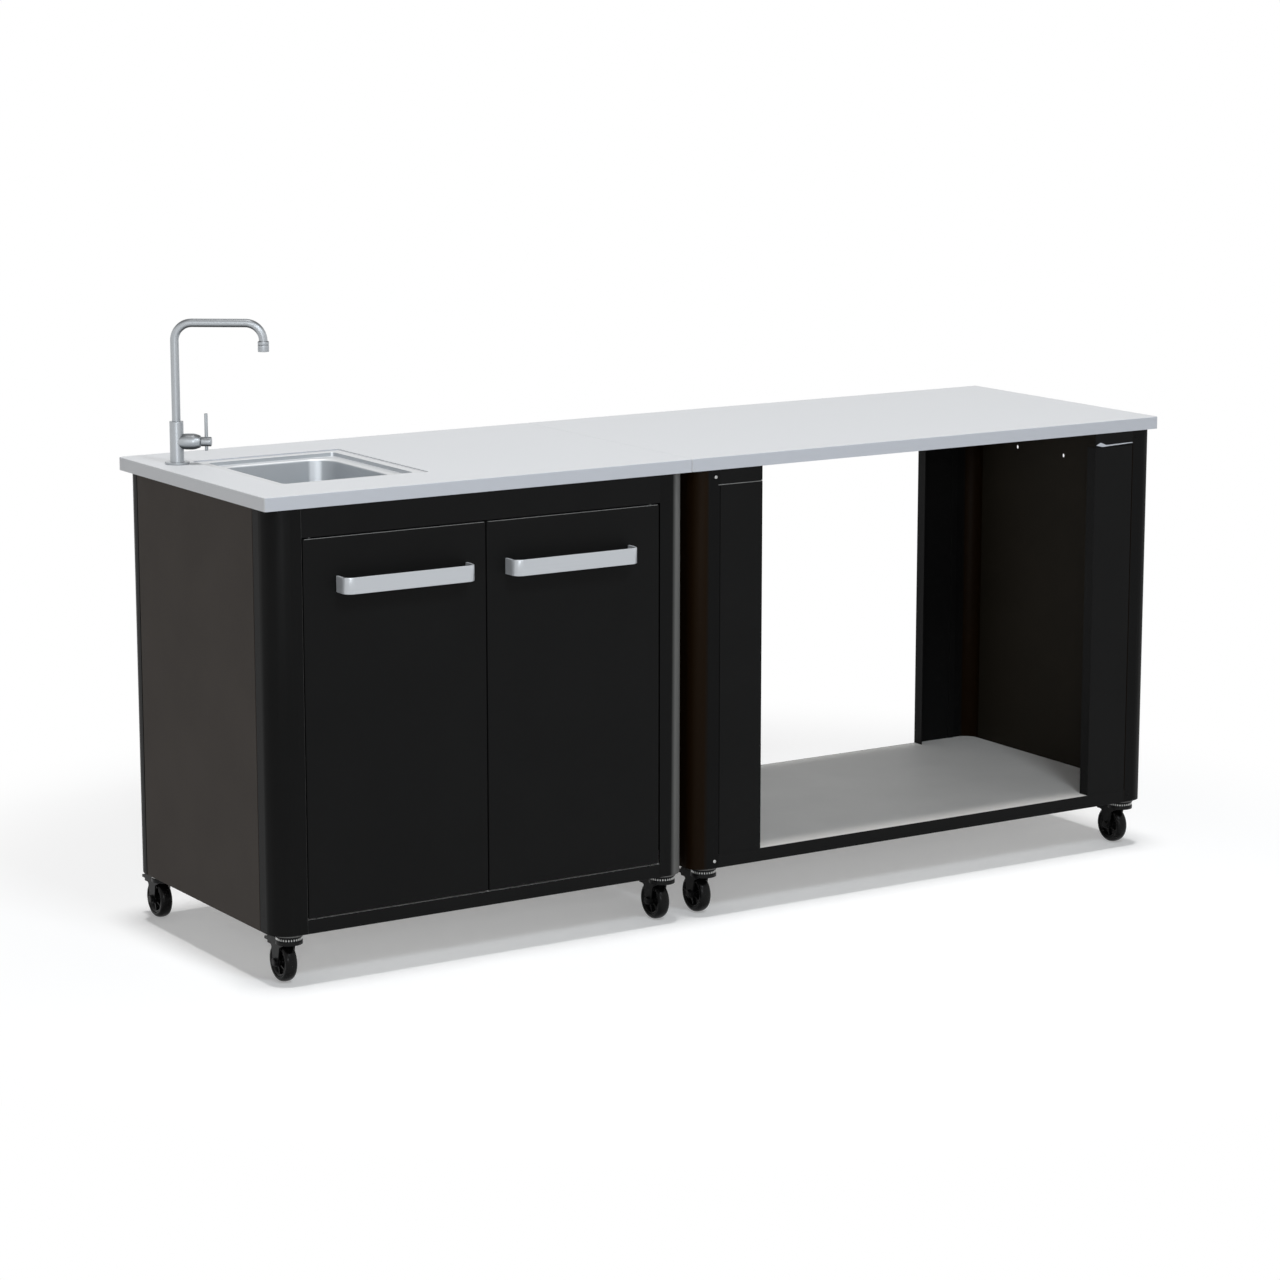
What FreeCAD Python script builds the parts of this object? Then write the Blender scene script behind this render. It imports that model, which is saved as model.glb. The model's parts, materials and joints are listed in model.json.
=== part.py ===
import FreeCAD, Part
import os
import Sketcher

# Outdoor kitchen: a sink cabinet with two doors and an open cabinet, side by side on casters.
# Millimetres, +Z up. Lengths are first counted from the left end and front edge of the worktops
# and from the floor, then moved so that the origin lies under the middle of the whole object.

doc = FreeCAD.newDocument("OutdoorKitchen")
sheet = doc.addObject("Spreadsheet::Sheet", "Sizes")

DRIVING_SIZES = {
    # worktops
    "counter_height": 900, "sink_width": 900, "open_width": 1140, "top_depth": 610,
    "top_edge": 25, "top_sheet": 2, "top_lip": 70, "top_corner": 4, "top_round": 1.5,
    # cabinets
    "side_inset": 8, "front_inset": 2, "back_inset": 10, "cabinet_floor": 96, "deck_edge": 26,
    "coat_sheet": 2, "deck_lip": 80, "panel_gap": 2.5, "panel_lap": 6,
    # corner posts
    "sink_post_radius": 42, "open_post_radius": 33, "post_flat": 22, "rear_flat": 8,
    # doors and what frames them
    "header_edge": 53, "rail_flange": 20, "door_gap": 2.5, "door_depth": 18, "door_sheet": 2,
    "door_round": 1.5, "pivot_inset": 16, "pivot_setback": 7, "pivot_radius": 3, "pivot_reach": 14,
    "pivot_play": 0.05,
    # handles
    "handle_length": 270, "handle_height": 30, "handle_reach": 38, "handle_strap": 4,
    "handle_bend": 17, "handle_from_gap": 40, "handle_drop": 71,
    # fillers of the open cabinet
    "filler_width": 98, "filler_return": 26, "strip_edge": 28, "filler_gap": 1, "filler_joint": 1.5,
    # pressed sink
    "cutout_width": 310, "cutout_depth": 357, "cutout_left": 91, "cutout_front": 124, "cutout_corner": 5,
    "basin_sheet": 1.2, "basin_tuck": 12, "well_ledge": 21, "well_depth": 8, "well_corner": 8,
    "bowl_left": 10, "bowl_right": 22, "bowl_margin": 15, "bowl_depth": 150, "bowl_corner": 45,
    "bowl_floor_round": 20, "drain_hole": 27, "drain_play": 0.5, "drain_flange": 36, "drain_rim": 2,
    "drain_cup": 21, "drain_cup_depth": 3, "drain_length": 60, "trap_radius": 32, "trap_length": 120,
    "trap_round": 8, "outlet_radius": 18, "outlet_length": 95, "outlet_drop": 34,
    # tap
    "tap_beside": 37, "tap_setback": 14, "tap_turn": -35, "tap_flange": 23, "tap_flange_edge": 4,
    "tap_barrel": 13, "tap_height": 80, "tap_hole_play": 0.5, "tap_shank": 11, "tap_shank_length": 48,
    "spigot_radius": 6, "spigot_length": 20, "spout_radius": 8, "spout_bore": 5, "spout_top": 264,
    "spout_bend": 33, "spout_reach": 166, "spout_tip_angle": 90, "outlet_tube": 6,
    "aerator_radius": 10.5, "aerator_length": 20, "valve_radius": 12.8, "valve_length": 46,
    "valve_height": 42, "valve_cap_radius": 9, "valve_cap_length": 19, "spindle_radius": 4,
    "spindle_length": 14, "lever_radius": 3.2, "lever_length": 53, "lever_tail": 17,
    "turning_play": 0.2, "bore_play": 0.05,
    # casters
    "caster_inset": 40, "caster_front": 30, "caster_back": 43, "plate_radius": 27, "plate_edge": 3,
    "race_radius": 21, "race_edge": 9, "kingpin_radius": 5, "kingpin_length": 8,
    "wheel_radius": 37.5, "wheel_width": 24, "wheel_trail": 24, "tyre_shoulder": 7, "tyre_depth": 11,
    "web_width": 10, "hub_radius": 9, "hub_play": 0.5, "axle_radius": 4, "axle_head": 7, "axle_head_edge": 3,
    "cheek_gap": 28, "cheek_sheet": 2.5, "fork_crown": 3, "fork_front": 10, "fork_back": 55,
    "fork_toe": 8, "fork_waist": 16, "fork_ear": 16, "fork_shoulder": 8, "fork_round": 5,
    "cup_radius": 25, "cup_depth": 7,
    "pedal_start": 46, "pedal_reach": 74, "pedal_width": 26, "pedal_edge": 7, "pedal_rise": 2,
    "pedal_pivot": 50, "pedal_pin": 2.5, "pedal_drop": 10,
    # fasteners
    "link_drop": 90, "link_middle": 368, "link_spacing": 156, "link_hole": 4.5, "link_bolt": 4,
    "link_play": 0.2, "link_head": 7, "link_head_edge": 4, "link_nut_edge": 2, "screw_head": 3.4,
    "screw_head_edge": 1.5, "screw_shank": 1.8, "screw_inset": 9, "screw_drop": 14,
    # how far a cutting solid runs past what it cuts
    "overrun": 5,
}


class Size:
    """A length worked out from the sheet: its formula and its present value."""

    def __init__(self, formula, value):
        self.formula = formula
        self.value = value

    def __add__(self, other):
        other = as_size(other)
        return Size(f"({self.formula} + {other.formula})", self.value + other.value)

    def __sub__(self, other):
        other = as_size(other)
        return Size(f"({self.formula} - {other.formula})", self.value - other.value)

    def __mul__(self, factor):
        return Size(f"({self.formula} * {factor})", self.value * factor)

    def __truediv__(self, divisor):
        return Size(f"({self.formula} / {divisor})", self.value / divisor)

    def __neg__(self):
        return Size(f"(0 - {self.formula})", -self.value)


def as_size(length):
    return length if isinstance(length, Size) else Size(str(length), length)


ZERO = Size("0", 0)


class Sizes:
    """The sheet's cells by their aliases."""


for row, (alias, number) in enumerate(DRIVING_SIZES.items(), start=1):
    cell = f"A{row}"
    sheet.set(cell, str(number))
    sheet.setAlias(cell, alias)
    setattr(Sizes, alias, Size(f"Sizes.{alias}", number))
doc.recompute()
of = Sizes
nodes = []


# Helpers

def bind(feature, **lengths):
    for name, length in lengths.items():
        feature.setExpression(name, as_size(length).formula)


def place(feature, x, y, z, rotation=None):
    """Puts a feature's own origin at a point, with a fixed rotation if one is given."""
    if rotation is not None:
        feature.Placement = FreeCAD.Placement(FreeCAD.Vector(), rotation)
    for axis, length in zip("xyz", (x, y, z)):
        feature.setExpression(f"Placement.Base.{axis}", as_size(length).formula)


def deliver(feature, label):
    feature.Label = label
    nodes.append(feature)
    return feature


ALONG = {
    "x": FreeCAD.Rotation(FreeCAD.Vector(0, 1, 0), 90),
    "y": FreeCAD.Rotation(FreeCAD.Vector(1, 0, 0), -90),
    "z": FreeCAD.Rotation(),
}


def box(name, corner, spans):
    solid = doc.addObject("Part::Box", name)
    bind(solid, Length=spans[0], Width=spans[1], Height=spans[2])
    place(solid, *corner)
    return solid


def rod(name, axis, start, radius, length):
    """A cylinder that runs from its start along one axis."""
    solid = doc.addObject("Part::Cylinder", name)
    bind(solid, Radius=radius, Height=length)
    place(solid, *start, ALONG[axis])
    return solid


def fuse(name, *solids):
    joined = doc.addObject("Part::MultiFuse", name)
    joined.Shapes = list(solids)
    joined.Refine = True
    return joined


def cut(name, base, *tools):
    cutter = tools[0] if len(tools) == 1 else fuse(name + "Cutters", *tools)
    result = doc.addObject("Part::Cut", name)
    result.Base = base
    result.Tool = cutter
    return result


def group(name, solids):
    gathered = doc.addObject("Part::Compound", name)
    gathered.Links = list(solids)
    return gathered


def new_body(name):
    return doc.addObject("PartDesign::Body", name)


def outline(body, role, points):
    """A closed sketch on one of the body's origin planes, with each corner tied to its lengths."""
    sketch = body.newObject("Sketcher::SketchObject", body.Name + "Outline")
    plane = [entry for entry in body.Origin.OriginFeatures if entry.Role == role][0]
    sketch.AttachmentSupport = [(plane, "")]
    sketch.MapMode = "FlatFace"
    points = [(as_size(u), as_size(v)) for u, v in points]
    corners = [FreeCAD.Vector(u.value, v.value, 0) for u, v in points]
    for start, end in zip(corners, corners[1:] + corners[:1]):
        sketch.addGeometry(Part.LineSegment(start, end), False)
    for index in range(len(points)):
        following = (index + 1) % len(points)
        sketch.addConstraint(Sketcher.Constraint("Coincident", index, 2, following, 1))
    for index, pair in enumerate(points):
        for kind, crossing_axis, length in zip(("DistanceX", "DistanceY"), (-2, -1), pair):
            if length.formula == "0":
                sketch.addConstraint(Sketcher.Constraint("PointOnObject", index, 1, crossing_axis))
                continue
            tie = sketch.addConstraint(Sketcher.Constraint(kind, -1, 1, index, 1, length.value))
            sketch.setExpression(f"Constraints[{tie}]", length.formula)
    return sketch


def rectangle(x0, y0, x1, y1):
    return [(x0, y0), (x1, y0), (x1, y1), (x0, y1)]


def pad(body, sketch, length, backwards=False):
    feature = body.newObject("PartDesign::Pad", body.Name + "Pad")
    feature.Profile = sketch
    feature.Reversed = backwards
    bind(feature, Length=length)
    sketch.Visibility = False
    doc.recompute()
    return feature


def revolve(body, sketch, axis):
    feature = body.newObject("PartDesign::Revolution", body.Name + "Turn")
    feature.Profile = sketch
    feature.ReferenceAxis = (sketch, [axis])
    feature.Angle = 360
    doc.recompute()
    return feature


def fillet(body, chosen, radius):
    """Rounds those edges of the body's last feature for which chosen(edge) holds."""
    base = body.Tip
    names = [f"Edge{i}" for i, edge in enumerate(base.Shape.Edges, start=1) if chosen(edge)]
    feature = body.newObject("PartDesign::Fillet", body.Name + "Round")
    feature.Base = (base, names)
    bind(feature, Radius=radius)
    doc.recompute()
    return feature


NEAR = 1e-4


def same(a, b):
    return abs(a - as_size(b).value) < NEAR


def upright_at(*places):
    """Chooses the vertical edges at any of the given plan positions."""
    def chosen(edge):
        low, high = edge.BoundBox.ZMin, edge.BoundBox.ZMax
        flat = edge.BoundBox.XLength < NEAR and edge.BoundBox.YLength < NEAR
        at = edge.CenterOfMass
        return flat and high - low > NEAR and any(same(at.x, x) and same(at.y, y) for x, y in places)
    return chosen


def at_height(z):
    """Chooses the edges that lie level at a height."""
    return lambda edge: same(edge.BoundBox.ZMin, z) and same(edge.BoundBox.ZMax, z)


# Places that several pieces share

CABINET_TOP = of.counter_height - of.top_edge
CABINET_TALL = CABINET_TOP - of.cabinet_floor
CABINET_BACK = of.top_depth - of.back_inset
DECK_TOP = of.cabinet_floor + of.deck_edge
REAR_SWIVEL = CABINET_BACK - of.caster_back
LINK_HIGH = CABINET_TOP - of.link_drop
ORIGIN_X = (of.sink_width + of.open_width) / 2
ORIGIN_Y = (of.front_inset - of.handle_reach + REAR_SWIVEL + of.pedal_reach) / 2


class Cabinet:
    """The plan limits of one cabinet and of the worktop above it."""

    def __init__(self, name, left, width, post_radius):
        self.name = name
        self.top_left = left
        self.width = width
        self.left = left + of.side_inset
        self.right = left + width - of.side_inset
        self.post_radius = post_radius
        self.post_leg = post_radius + of.post_flat
        self.rear_leg = post_radius + of.rear_flat
        self.inner_left = self.left + self.post_leg
        self.inner_right = self.right - self.post_leg


SINK = Cabinet("sink", ZERO, of.sink_width, of.sink_post_radius)
OPEN = Cabinet("open", of.sink_width, of.open_width, of.open_post_radius)


def at_bench(feature, x, y, z, rotation=None):
    """Places a feature by its distance from the worktops' left end, front edge and the floor."""
    place(feature, as_size(x) - ORIGIN_X, as_size(y) - ORIGIN_Y, z, rotation)


def bench_box(name, low, high):
    spans = [as_size(b) - a for a, b in zip(low, high)]
    return box(name, (as_size(low[0]) - ORIGIN_X, as_size(low[1]) - ORIGIN_Y, low[2]), spans)


def bench_rod(name, axis, start, radius, length):
    moved = (as_size(start[0]) - ORIGIN_X, as_size(start[1]) - ORIGIN_Y, start[2])
    return rod(name, axis, moved, radius, length)


# Worktops and the pressed sink

def rounded_block(name, width, depth, height, corner):
    body = new_body(name)
    pad(body, outline(body, "XY_Plane", rectangle(ZERO, ZERO, width, depth)), height)
    fillet(body, upright_at((ZERO, ZERO), (width, ZERO), (ZERO, depth), (width, depth)), corner)
    return body


def worktop(cabinet, *cutouts):
    """A folded sheet: top, four edges and a lip that turns in under them."""
    name = cabinet.name + "Worktop"
    slab = rounded_block(name + "Slab", cabinet.width, of.top_depth, of.top_edge, of.top_corner)
    fillet(slab, at_height(of.top_edge), of.top_round)
    at_bench(slab, cabinet.top_left, ZERO, CABINET_TOP)
    right = cabinet.top_left + cabinet.width
    hollow = bench_box(
        name + "Hollow",
        (cabinet.top_left + of.top_sheet, of.top_sheet, CABINET_TOP + of.top_sheet),
        (right - of.top_sheet, of.top_depth - of.top_sheet, of.counter_height - of.top_sheet))
    mouth = bench_box(
        name + "Mouth",
        (cabinet.top_left + of.top_lip, of.top_lip, CABINET_TOP - of.overrun),
        (right - of.top_lip, of.top_depth - of.top_lip, CABINET_TOP + of.top_sheet + of.overrun))
    deliver(cut(name, slab, hollow, mouth, *cutouts), cabinet.name + "_worktop")


TAP_X = of.cutout_left - of.tap_beside
TAP_Y = of.cutout_front + of.cutout_depth - of.tap_setback

sink_hole = rounded_block("SinkCutout", of.cutout_width, of.cutout_depth, of.top_edge, of.cutout_corner)
at_bench(sink_hole, of.cutout_left, of.cutout_front, of.counter_height - of.top_edge / 2)
tap_hole = bench_rod(
    "TapHole", "z", (TAP_X, TAP_Y, CABINET_TOP - of.overrun),
    of.tap_shank + of.tap_hole_play, of.top_edge + of.overrun * 2)
worktop(SINK, sink_hole, tap_hole)
worktop(OPEN)

LEDGE_TOP = of.counter_height - of.top_sheet
WELL_FLOOR = LEDGE_TOP - of.well_depth
BOWL_FLOOR = WELL_FLOOR - of.bowl_depth
WELL_WIDTH = of.cutout_width - of.well_ledge * 2
WELL_LONG = of.cutout_depth - of.well_ledge * 2
BOWL_WIDTH = WELL_WIDTH - of.bowl_left - of.bowl_right
BOWL_LONG = WELL_LONG - of.bowl_margin * 2
WELL_X = of.cutout_left + of.well_ledge
WELL_Y = of.cutout_front + of.well_ledge
BOWL_X = WELL_X + of.bowl_left
BOWL_Y = WELL_Y + of.bowl_margin
DRAIN_X = BOWL_X + BOWL_WIDTH / 2
DRAIN_Y = BOWL_Y + BOWL_LONG / 2


def sink_hollow(name, skin, rise):
    """The well and the bowl below it, as one solid grown outwards by a skin."""
    well = rounded_block(
        name + "Well", WELL_WIDTH + skin * 2, WELL_LONG + skin * 2,
        of.well_depth + skin + rise, of.well_corner + skin)
    at_bench(well, WELL_X - skin, WELL_Y - skin, WELL_FLOOR - skin)
    bowl = rounded_block(
        name + "Bowl", BOWL_WIDTH + skin * 2, BOWL_LONG + skin * 2,
        of.bowl_depth + skin + of.well_depth / 2, of.bowl_corner + skin)
    fillet(bowl, at_height(ZERO), of.bowl_floor_round + skin)
    at_bench(bowl, BOWL_X - skin, BOWL_Y - skin, BOWL_FLOOR - skin)
    return fuse(name, well, bowl)


def sink_basin():
    flange = rounded_block(
        "BasinFlange", of.cutout_width + of.basin_tuck * 2, of.cutout_depth + of.basin_tuck * 2,
        of.basin_sheet, of.cutout_corner + of.basin_tuck)
    at_bench(
        flange, of.cutout_left - of.basin_tuck, of.cutout_front - of.basin_tuck, LEDGE_TOP - of.basin_sheet)
    outside = fuse("BasinOutside", flange, sink_hollow("BasinShell", of.basin_sheet, ZERO))
    inside = sink_hollow("BasinInside", ZERO, of.overrun)
    waste = bench_rod(
        "BasinWaste", "z", (DRAIN_X, DRAIN_Y, BOWL_FLOOR - of.overrun), of.drain_hole, of.overrun * 2)
    deliver(cut("SinkBasin", outside, inside, waste), "sink_basin")


def sink_drain():
    body = new_body("SinkDrain")
    neck = of.drain_hole - of.drain_play
    sketch = outline(body, "XZ_Plane", [
        (ZERO, of.drain_rim - of.drain_cup_depth), (of.drain_cup, of.drain_rim - of.drain_cup_depth),
        (of.drain_cup, of.drain_rim), (of.drain_flange, of.drain_rim), (of.drain_flange, ZERO),
        (neck, ZERO), (neck, -of.drain_length), (ZERO, -of.drain_length)])
    revolve(body, sketch, "V_Axis")
    at_bench(body, DRAIN_X, DRAIN_Y, BOWL_FLOOR)
    deliver(body, "sink_drain")


def sink_trap():
    top = BOWL_FLOOR - of.drain_length
    bottle = new_body("TrapBottle")
    sketch = outline(bottle, "XZ_Plane", [
        (ZERO, ZERO), (of.trap_radius, ZERO), (of.trap_radius, -of.trap_length), (ZERO, -of.trap_length)])
    revolve(bottle, sketch, "V_Axis")
    fillet(bottle, at_height(-of.trap_length), of.trap_round)
    at_bench(bottle, DRAIN_X, DRAIN_Y, top)
    outlet = bench_rod(
        "TrapOutlet", "y", (DRAIN_X, DRAIN_Y, top - of.outlet_drop), of.outlet_radius, of.outlet_length)
    deliver(fuse("SinkTrap", bottle, outlet), "sink_trap")


sink_basin()
sink_drain()
sink_trap()


# Tap, built round its own upright axis with the valve along +X, then turned towards the bowl

def stand_tap(feature, label):
    feature.Placement = FreeCAD.Placement(
        FreeCAD.Vector(), FreeCAD.Rotation(FreeCAD.Vector(0, 0, 1), of.tap_turn.value))
    feature.setExpression("Placement.Rotation.Angle", of.tap_turn.formula)
    at_bench(feature, TAP_X, TAP_Y, of.counter_height)
    deliver(feature, label)


def tap_body():
    foot = rod("TapFoot", "z", (ZERO, ZERO, ZERO), of.tap_flange, of.tap_flange_edge)
    barrel = rod("TapBarrel", "z", (ZERO, ZERO, ZERO), of.tap_barrel, of.tap_height)
    shank = rod("TapShank", "z", (ZERO, ZERO, -of.tap_shank_length), of.tap_shank, of.tap_shank_length)
    valve = rod("TapValve", "x", (ZERO, ZERO, of.valve_height), of.valve_radius, of.valve_length)
    socket = rod(
        "TapSocket", "z", (ZERO, ZERO, of.tap_height - of.spigot_length),
        of.spigot_radius + of.bore_play, of.spigot_length + of.overrun)
    spindle_bore = rod(
        "TapSpindleBore", "x", (of.valve_length - of.spindle_length, ZERO, of.valve_height),
        of.spindle_radius + of.bore_play, of.spindle_length + of.overrun)
    solid = cut("TapBody", fuse("TapCasting", foot, barrel, shank, valve), socket, spindle_bore)
    stand_tap(solid, "tap_body")


SPOUT_FOOT = of.tap_height + of.turning_play
SPOUT_RISE = of.spout_top - of.spout_bend


def tube_run(name, radius, bottom):
    """The spout's riser, first bend, level run and last bend as one solid of a given radius."""
    riser = rod(name + "Riser", "z", (ZERO, ZERO, bottom), radius, SPOUT_RISE - bottom)
    level = rod(
        name + "Level", "x", (of.spout_bend, ZERO, of.spout_top),
        radius, of.spout_reach - of.spout_bend * 2)
    first = doc.addObject("Part::Torus", name + "FirstBend")
    last = doc.addObject("Part::Torus", name + "LastBend")
    quarter = FreeCAD.Rotation(FreeCAD.Vector(1, 0, 0), 90)
    for bend in (first, last):
        bind(bend, Radius1=of.spout_bend, Radius2=radius)
    first.Angle3 = 90
    bind(last, Angle3=of.spout_tip_angle)
    start_of_first = quarter.multiply(FreeCAD.Rotation(FreeCAD.Vector(0, 0, 1), 90))
    place(first, of.spout_bend, ZERO, SPOUT_RISE, start_of_first)
    tip_start = FreeCAD.Rotation(FreeCAD.Vector(0, 0, 1), 90 - of.spout_tip_angle.value)
    place(last, of.spout_reach - of.spout_bend, ZERO, SPOUT_RISE, quarter.multiply(tip_start))
    return fuse(name, riser, first, level, last)


def tap_spout():
    outside = tube_run("SpoutOutside", of.spout_radius, SPOUT_FOOT)
    spigot_foot = of.tap_height - of.spigot_length + of.turning_play
    spigot = rod(
        "SpoutSpigot", "z", (ZERO, ZERO, spigot_foot), of.spigot_radius, of.spigot_length + of.turning_play)
    inside = tube_run("SpoutInside", of.spout_bore, spigot_foot - of.overrun)
    solid = cut("TapSpout", fuse("SpoutTube", outside, spigot), inside)
    stand_tap(solid, "tap_spout")


def tap_aerator():
    """The outlet nozzle, square to the end of the last bend."""
    lean = 90 - of.spout_tip_angle.value
    nozzle = new_body("AeratorTurned")
    sketch = outline(nozzle, "XZ_Plane", [
        (of.outlet_tube, ZERO), (of.aerator_radius, ZERO), (of.aerator_radius, -of.aerator_length),
        (of.outlet_tube, -of.aerator_length)])
    revolve(nozzle, sketch, "V_Axis")
    tip = FreeCAD.Rotation(FreeCAD.Vector(0, 1, 0), -lean)
    place(nozzle, ZERO, ZERO, ZERO, tip)
    nozzle.setExpression(
        "Placement.Base.x",
        f"{(of.spout_reach - of.spout_bend).formula} + Sizes.spout_bend * sin(Sizes.spout_tip_angle * 1 deg)")
    nozzle.setExpression(
        "Placement.Base.z",
        f"{SPOUT_RISE.formula} + Sizes.spout_bend * cos(Sizes.spout_tip_angle * 1 deg)")
    solid = group("TapAerator", [nozzle])
    stand_tap(solid, "tap_aerator")


def tap_lever():
    start = of.valve_length + of.turning_play
    cap = rod("LeverCap", "x", (start, ZERO, of.valve_height), of.valve_cap_radius, of.valve_cap_length)
    spindle_start = of.valve_length - of.spindle_length + of.turning_play
    spindle = rod(
        "LeverSpindle", "x", (spindle_start, ZERO, of.valve_height), of.spindle_radius, of.spindle_length)
    arm = rod(
        "LeverArm", "z", (start + of.valve_cap_length / 2, ZERO, of.valve_height - of.lever_tail),
        of.lever_radius, of.lever_tail + of.lever_length)
    stand_tap(fuse("TapLever", cap, spindle, arm), "tap_lever")


tap_body()
tap_spout()
tap_aerator()
tap_lever()


# Cabinet carcasses

def corner_post(cabinet, name, x, y, toward_x, toward_y, depth_leg):
    """A sheet folded round one corner; its legs run towards the cabinet's middle."""
    body = new_body(name)
    skin = of.coat_sheet
    leg = cabinet.post_leg
    points = [(ZERO, ZERO), (leg, ZERO), (leg, skin), (skin, skin), (skin, depth_leg), (ZERO, depth_leg)]
    points = [(u if toward_x > 0 else mirrored(u), v if toward_y > 0 else mirrored(v)) for u, v in points]
    pad(body, outline(body, "XY_Plane", points), CABINET_TALL)
    fillet(body, upright_at(points[0]), cabinet.post_radius)
    fillet(body, upright_at(points[3]), cabinet.post_radius - skin)
    at_bench(body, x, y, of.cabinet_floor)
    return body


def mirrored(length):
    return length if length.formula == "0" else -length


def corner_posts(cabinet):
    posts = []
    for side, x, toward_x in (("Left", cabinet.left, 1), ("Right", cabinet.right, -1)):
        for end, y, toward_y, leg in (
                ("Front", of.front_inset, 1, cabinet.post_leg), ("Back", CABINET_BACK, -1, cabinet.rear_leg)):
            name = f"{cabinet.name}{end}{side}Post"
            posts.append(corner_post(cabinet, name, x, y, toward_x, toward_y, leg))
    deliver(group(cabinet.name + "Posts", posts), cabinet.name + "_corner_posts")


def side_panel(cabinet, side, hole=None):
    """A panel flush with the post legs that laps behind them, with link holes of a given radius."""
    front = of.front_inset + cabinet.post_leg
    back = CABINET_BACK - cabinet.rear_leg
    skin = of.coat_sheet
    outer = cabinet.left if side == "left" else cabinet.right
    body = new_body(f"{cabinet.name}{side}Panel")
    points = [
        (ZERO, front + of.panel_gap), (ZERO, back - of.panel_gap), (skin, back - of.panel_gap),
        (skin, back + of.panel_lap), (skin * 2, back + of.panel_lap), (skin * 2, front - of.panel_lap),
        (skin, front - of.panel_lap), (skin, front + of.panel_gap)]
    if side == "right":
        points = [(mirrored(u), v) for u, v in points]
    pad(body, outline(body, "XY_Plane", points), CABINET_TALL)
    at_bench(body, outer, ZERO, of.cabinet_floor)
    panel = body
    if hole:
        start = outer - skin * 2 - of.overrun
        length = (skin * 2 + of.overrun) * 2
        holes = [bench_rod(f"{body.Name}Hole{i}", "x", (start, y, LINK_HIGH), hole, length)
                 for i, y in enumerate(link_places())]
        panel = cut(body.Name + "Drilled", body, *holes)
    deliver(panel, f"{cabinet.name}_{side}_panel")


def link_places():
    half = of.link_spacing / 2
    return (of.link_middle - half, of.link_middle + half)


def deck(cabinet):
    """The cabinet's floor: a folded tray turned over, with a lip that the casters bolt to."""
    skin = of.coat_sheet
    left, right = cabinet.left + skin * 2, cabinet.right - skin * 2
    front, back = of.front_inset + skin, CABINET_BACK - skin
    name = cabinet.name + "Deck"
    block = rounded_block(
        name + "Block", right - left, back - front, of.deck_edge, cabinet.post_radius - skin)
    at_bench(block, left, front, of.cabinet_floor)
    inner = cabinet.post_radius
    hollow = bench_box(
        name + "Hollow", (left + skin, front + inner, of.cabinet_floor + skin),
        (right - skin, back - inner, DECK_TOP - skin))
    ends = bench_box(
        name + "Ends", (left + inner, front + skin, of.cabinet_floor + skin),
        (right - inner, back - skin, DECK_TOP - skin))
    mouth = bench_box(
        name + "Mouth", (left + of.deck_lip, front + of.deck_lip, of.cabinet_floor - of.overrun),
        (right - of.deck_lip, back - of.deck_lip, of.cabinet_floor + skin + of.overrun))
    deliver(cut(name, block, hollow, ends, mouth), cabinet.name + "_deck")


def flush_sheet(label, left, right, y, low, high):
    """A plain sheet in the cabinet's front or back plane."""
    sheet_piece = bench_box(label.title().replace("_", ""), (left, y, low), (right, y + of.coat_sheet, high))
    deliver(sheet_piece, label)


for cabinet in (SINK, OPEN):
    corner_posts(cabinet)
    deck(cabinet)
    flush_sheet(
        cabinet.name + "_front_rail", cabinet.inner_left, cabinet.inner_right,
        of.front_inset, of.cabinet_floor, DECK_TOP)
side_panel(SINK, "left")
side_panel(SINK, "right", of.link_bolt + of.link_play)
side_panel(OPEN, "left", of.link_bolt + of.link_play)
side_panel(OPEN, "right", of.link_hole)
BACK_SHEET = CABINET_BACK - of.coat_sheet
flush_sheet("sink_back_panel", SINK.inner_left, SINK.inner_right, BACK_SHEET, of.cabinet_floor, CABINET_TOP)
flush_sheet("open_back_rail", OPEN.inner_left, OPEN.inner_right, BACK_SHEET, of.cabinet_floor, DECK_TOP)


# Doors, their pivots and handles

HEADER_LOW = CABINET_TOP - of.header_edge
DOOR_LOW = DECK_TOP + of.door_gap
DOOR_TALL = HEADER_LOW - of.door_gap - DOOR_LOW
DOOR_WIDE = (SINK.inner_right - SINK.inner_left - of.door_gap * 3) / 2
SINK_MIDDLE = of.sink_width / 2
PIVOT_Y = of.front_inset + of.pivot_setback


def header_rail():
    """A folded angle over the doors: a flush face and a flange that turns in below it."""
    body = new_body("SinkHeaderRail")
    skin = of.coat_sheet
    points = [(ZERO, ZERO), (of.rail_flange, ZERO), (of.rail_flange, skin), (skin, skin),
              (skin, of.header_edge), (ZERO, of.header_edge)]
    pad(body, outline(body, "YZ_Plane", points), SINK.inner_right - SINK.inner_left)
    at_bench(body, SINK.inner_left, of.front_inset, HEADER_LOW)
    deliver(body, "sink_header_rail")


class Door:
    def __init__(self, side):
        self.side = side
        if side == "left":
            self.left = SINK.inner_left + of.door_gap
            self.pivot_x = self.left + of.pivot_inset
            self.handle_left = SINK_MIDDLE - of.handle_from_gap - of.handle_length
        else:
            self.left = SINK_MIDDLE + of.door_gap / 2
            self.pivot_x = self.left + DOOR_WIDE - of.pivot_inset
            self.handle_left = SINK_MIDDLE + of.handle_from_gap


DOORS = (Door("left"), Door("right"))


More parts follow.
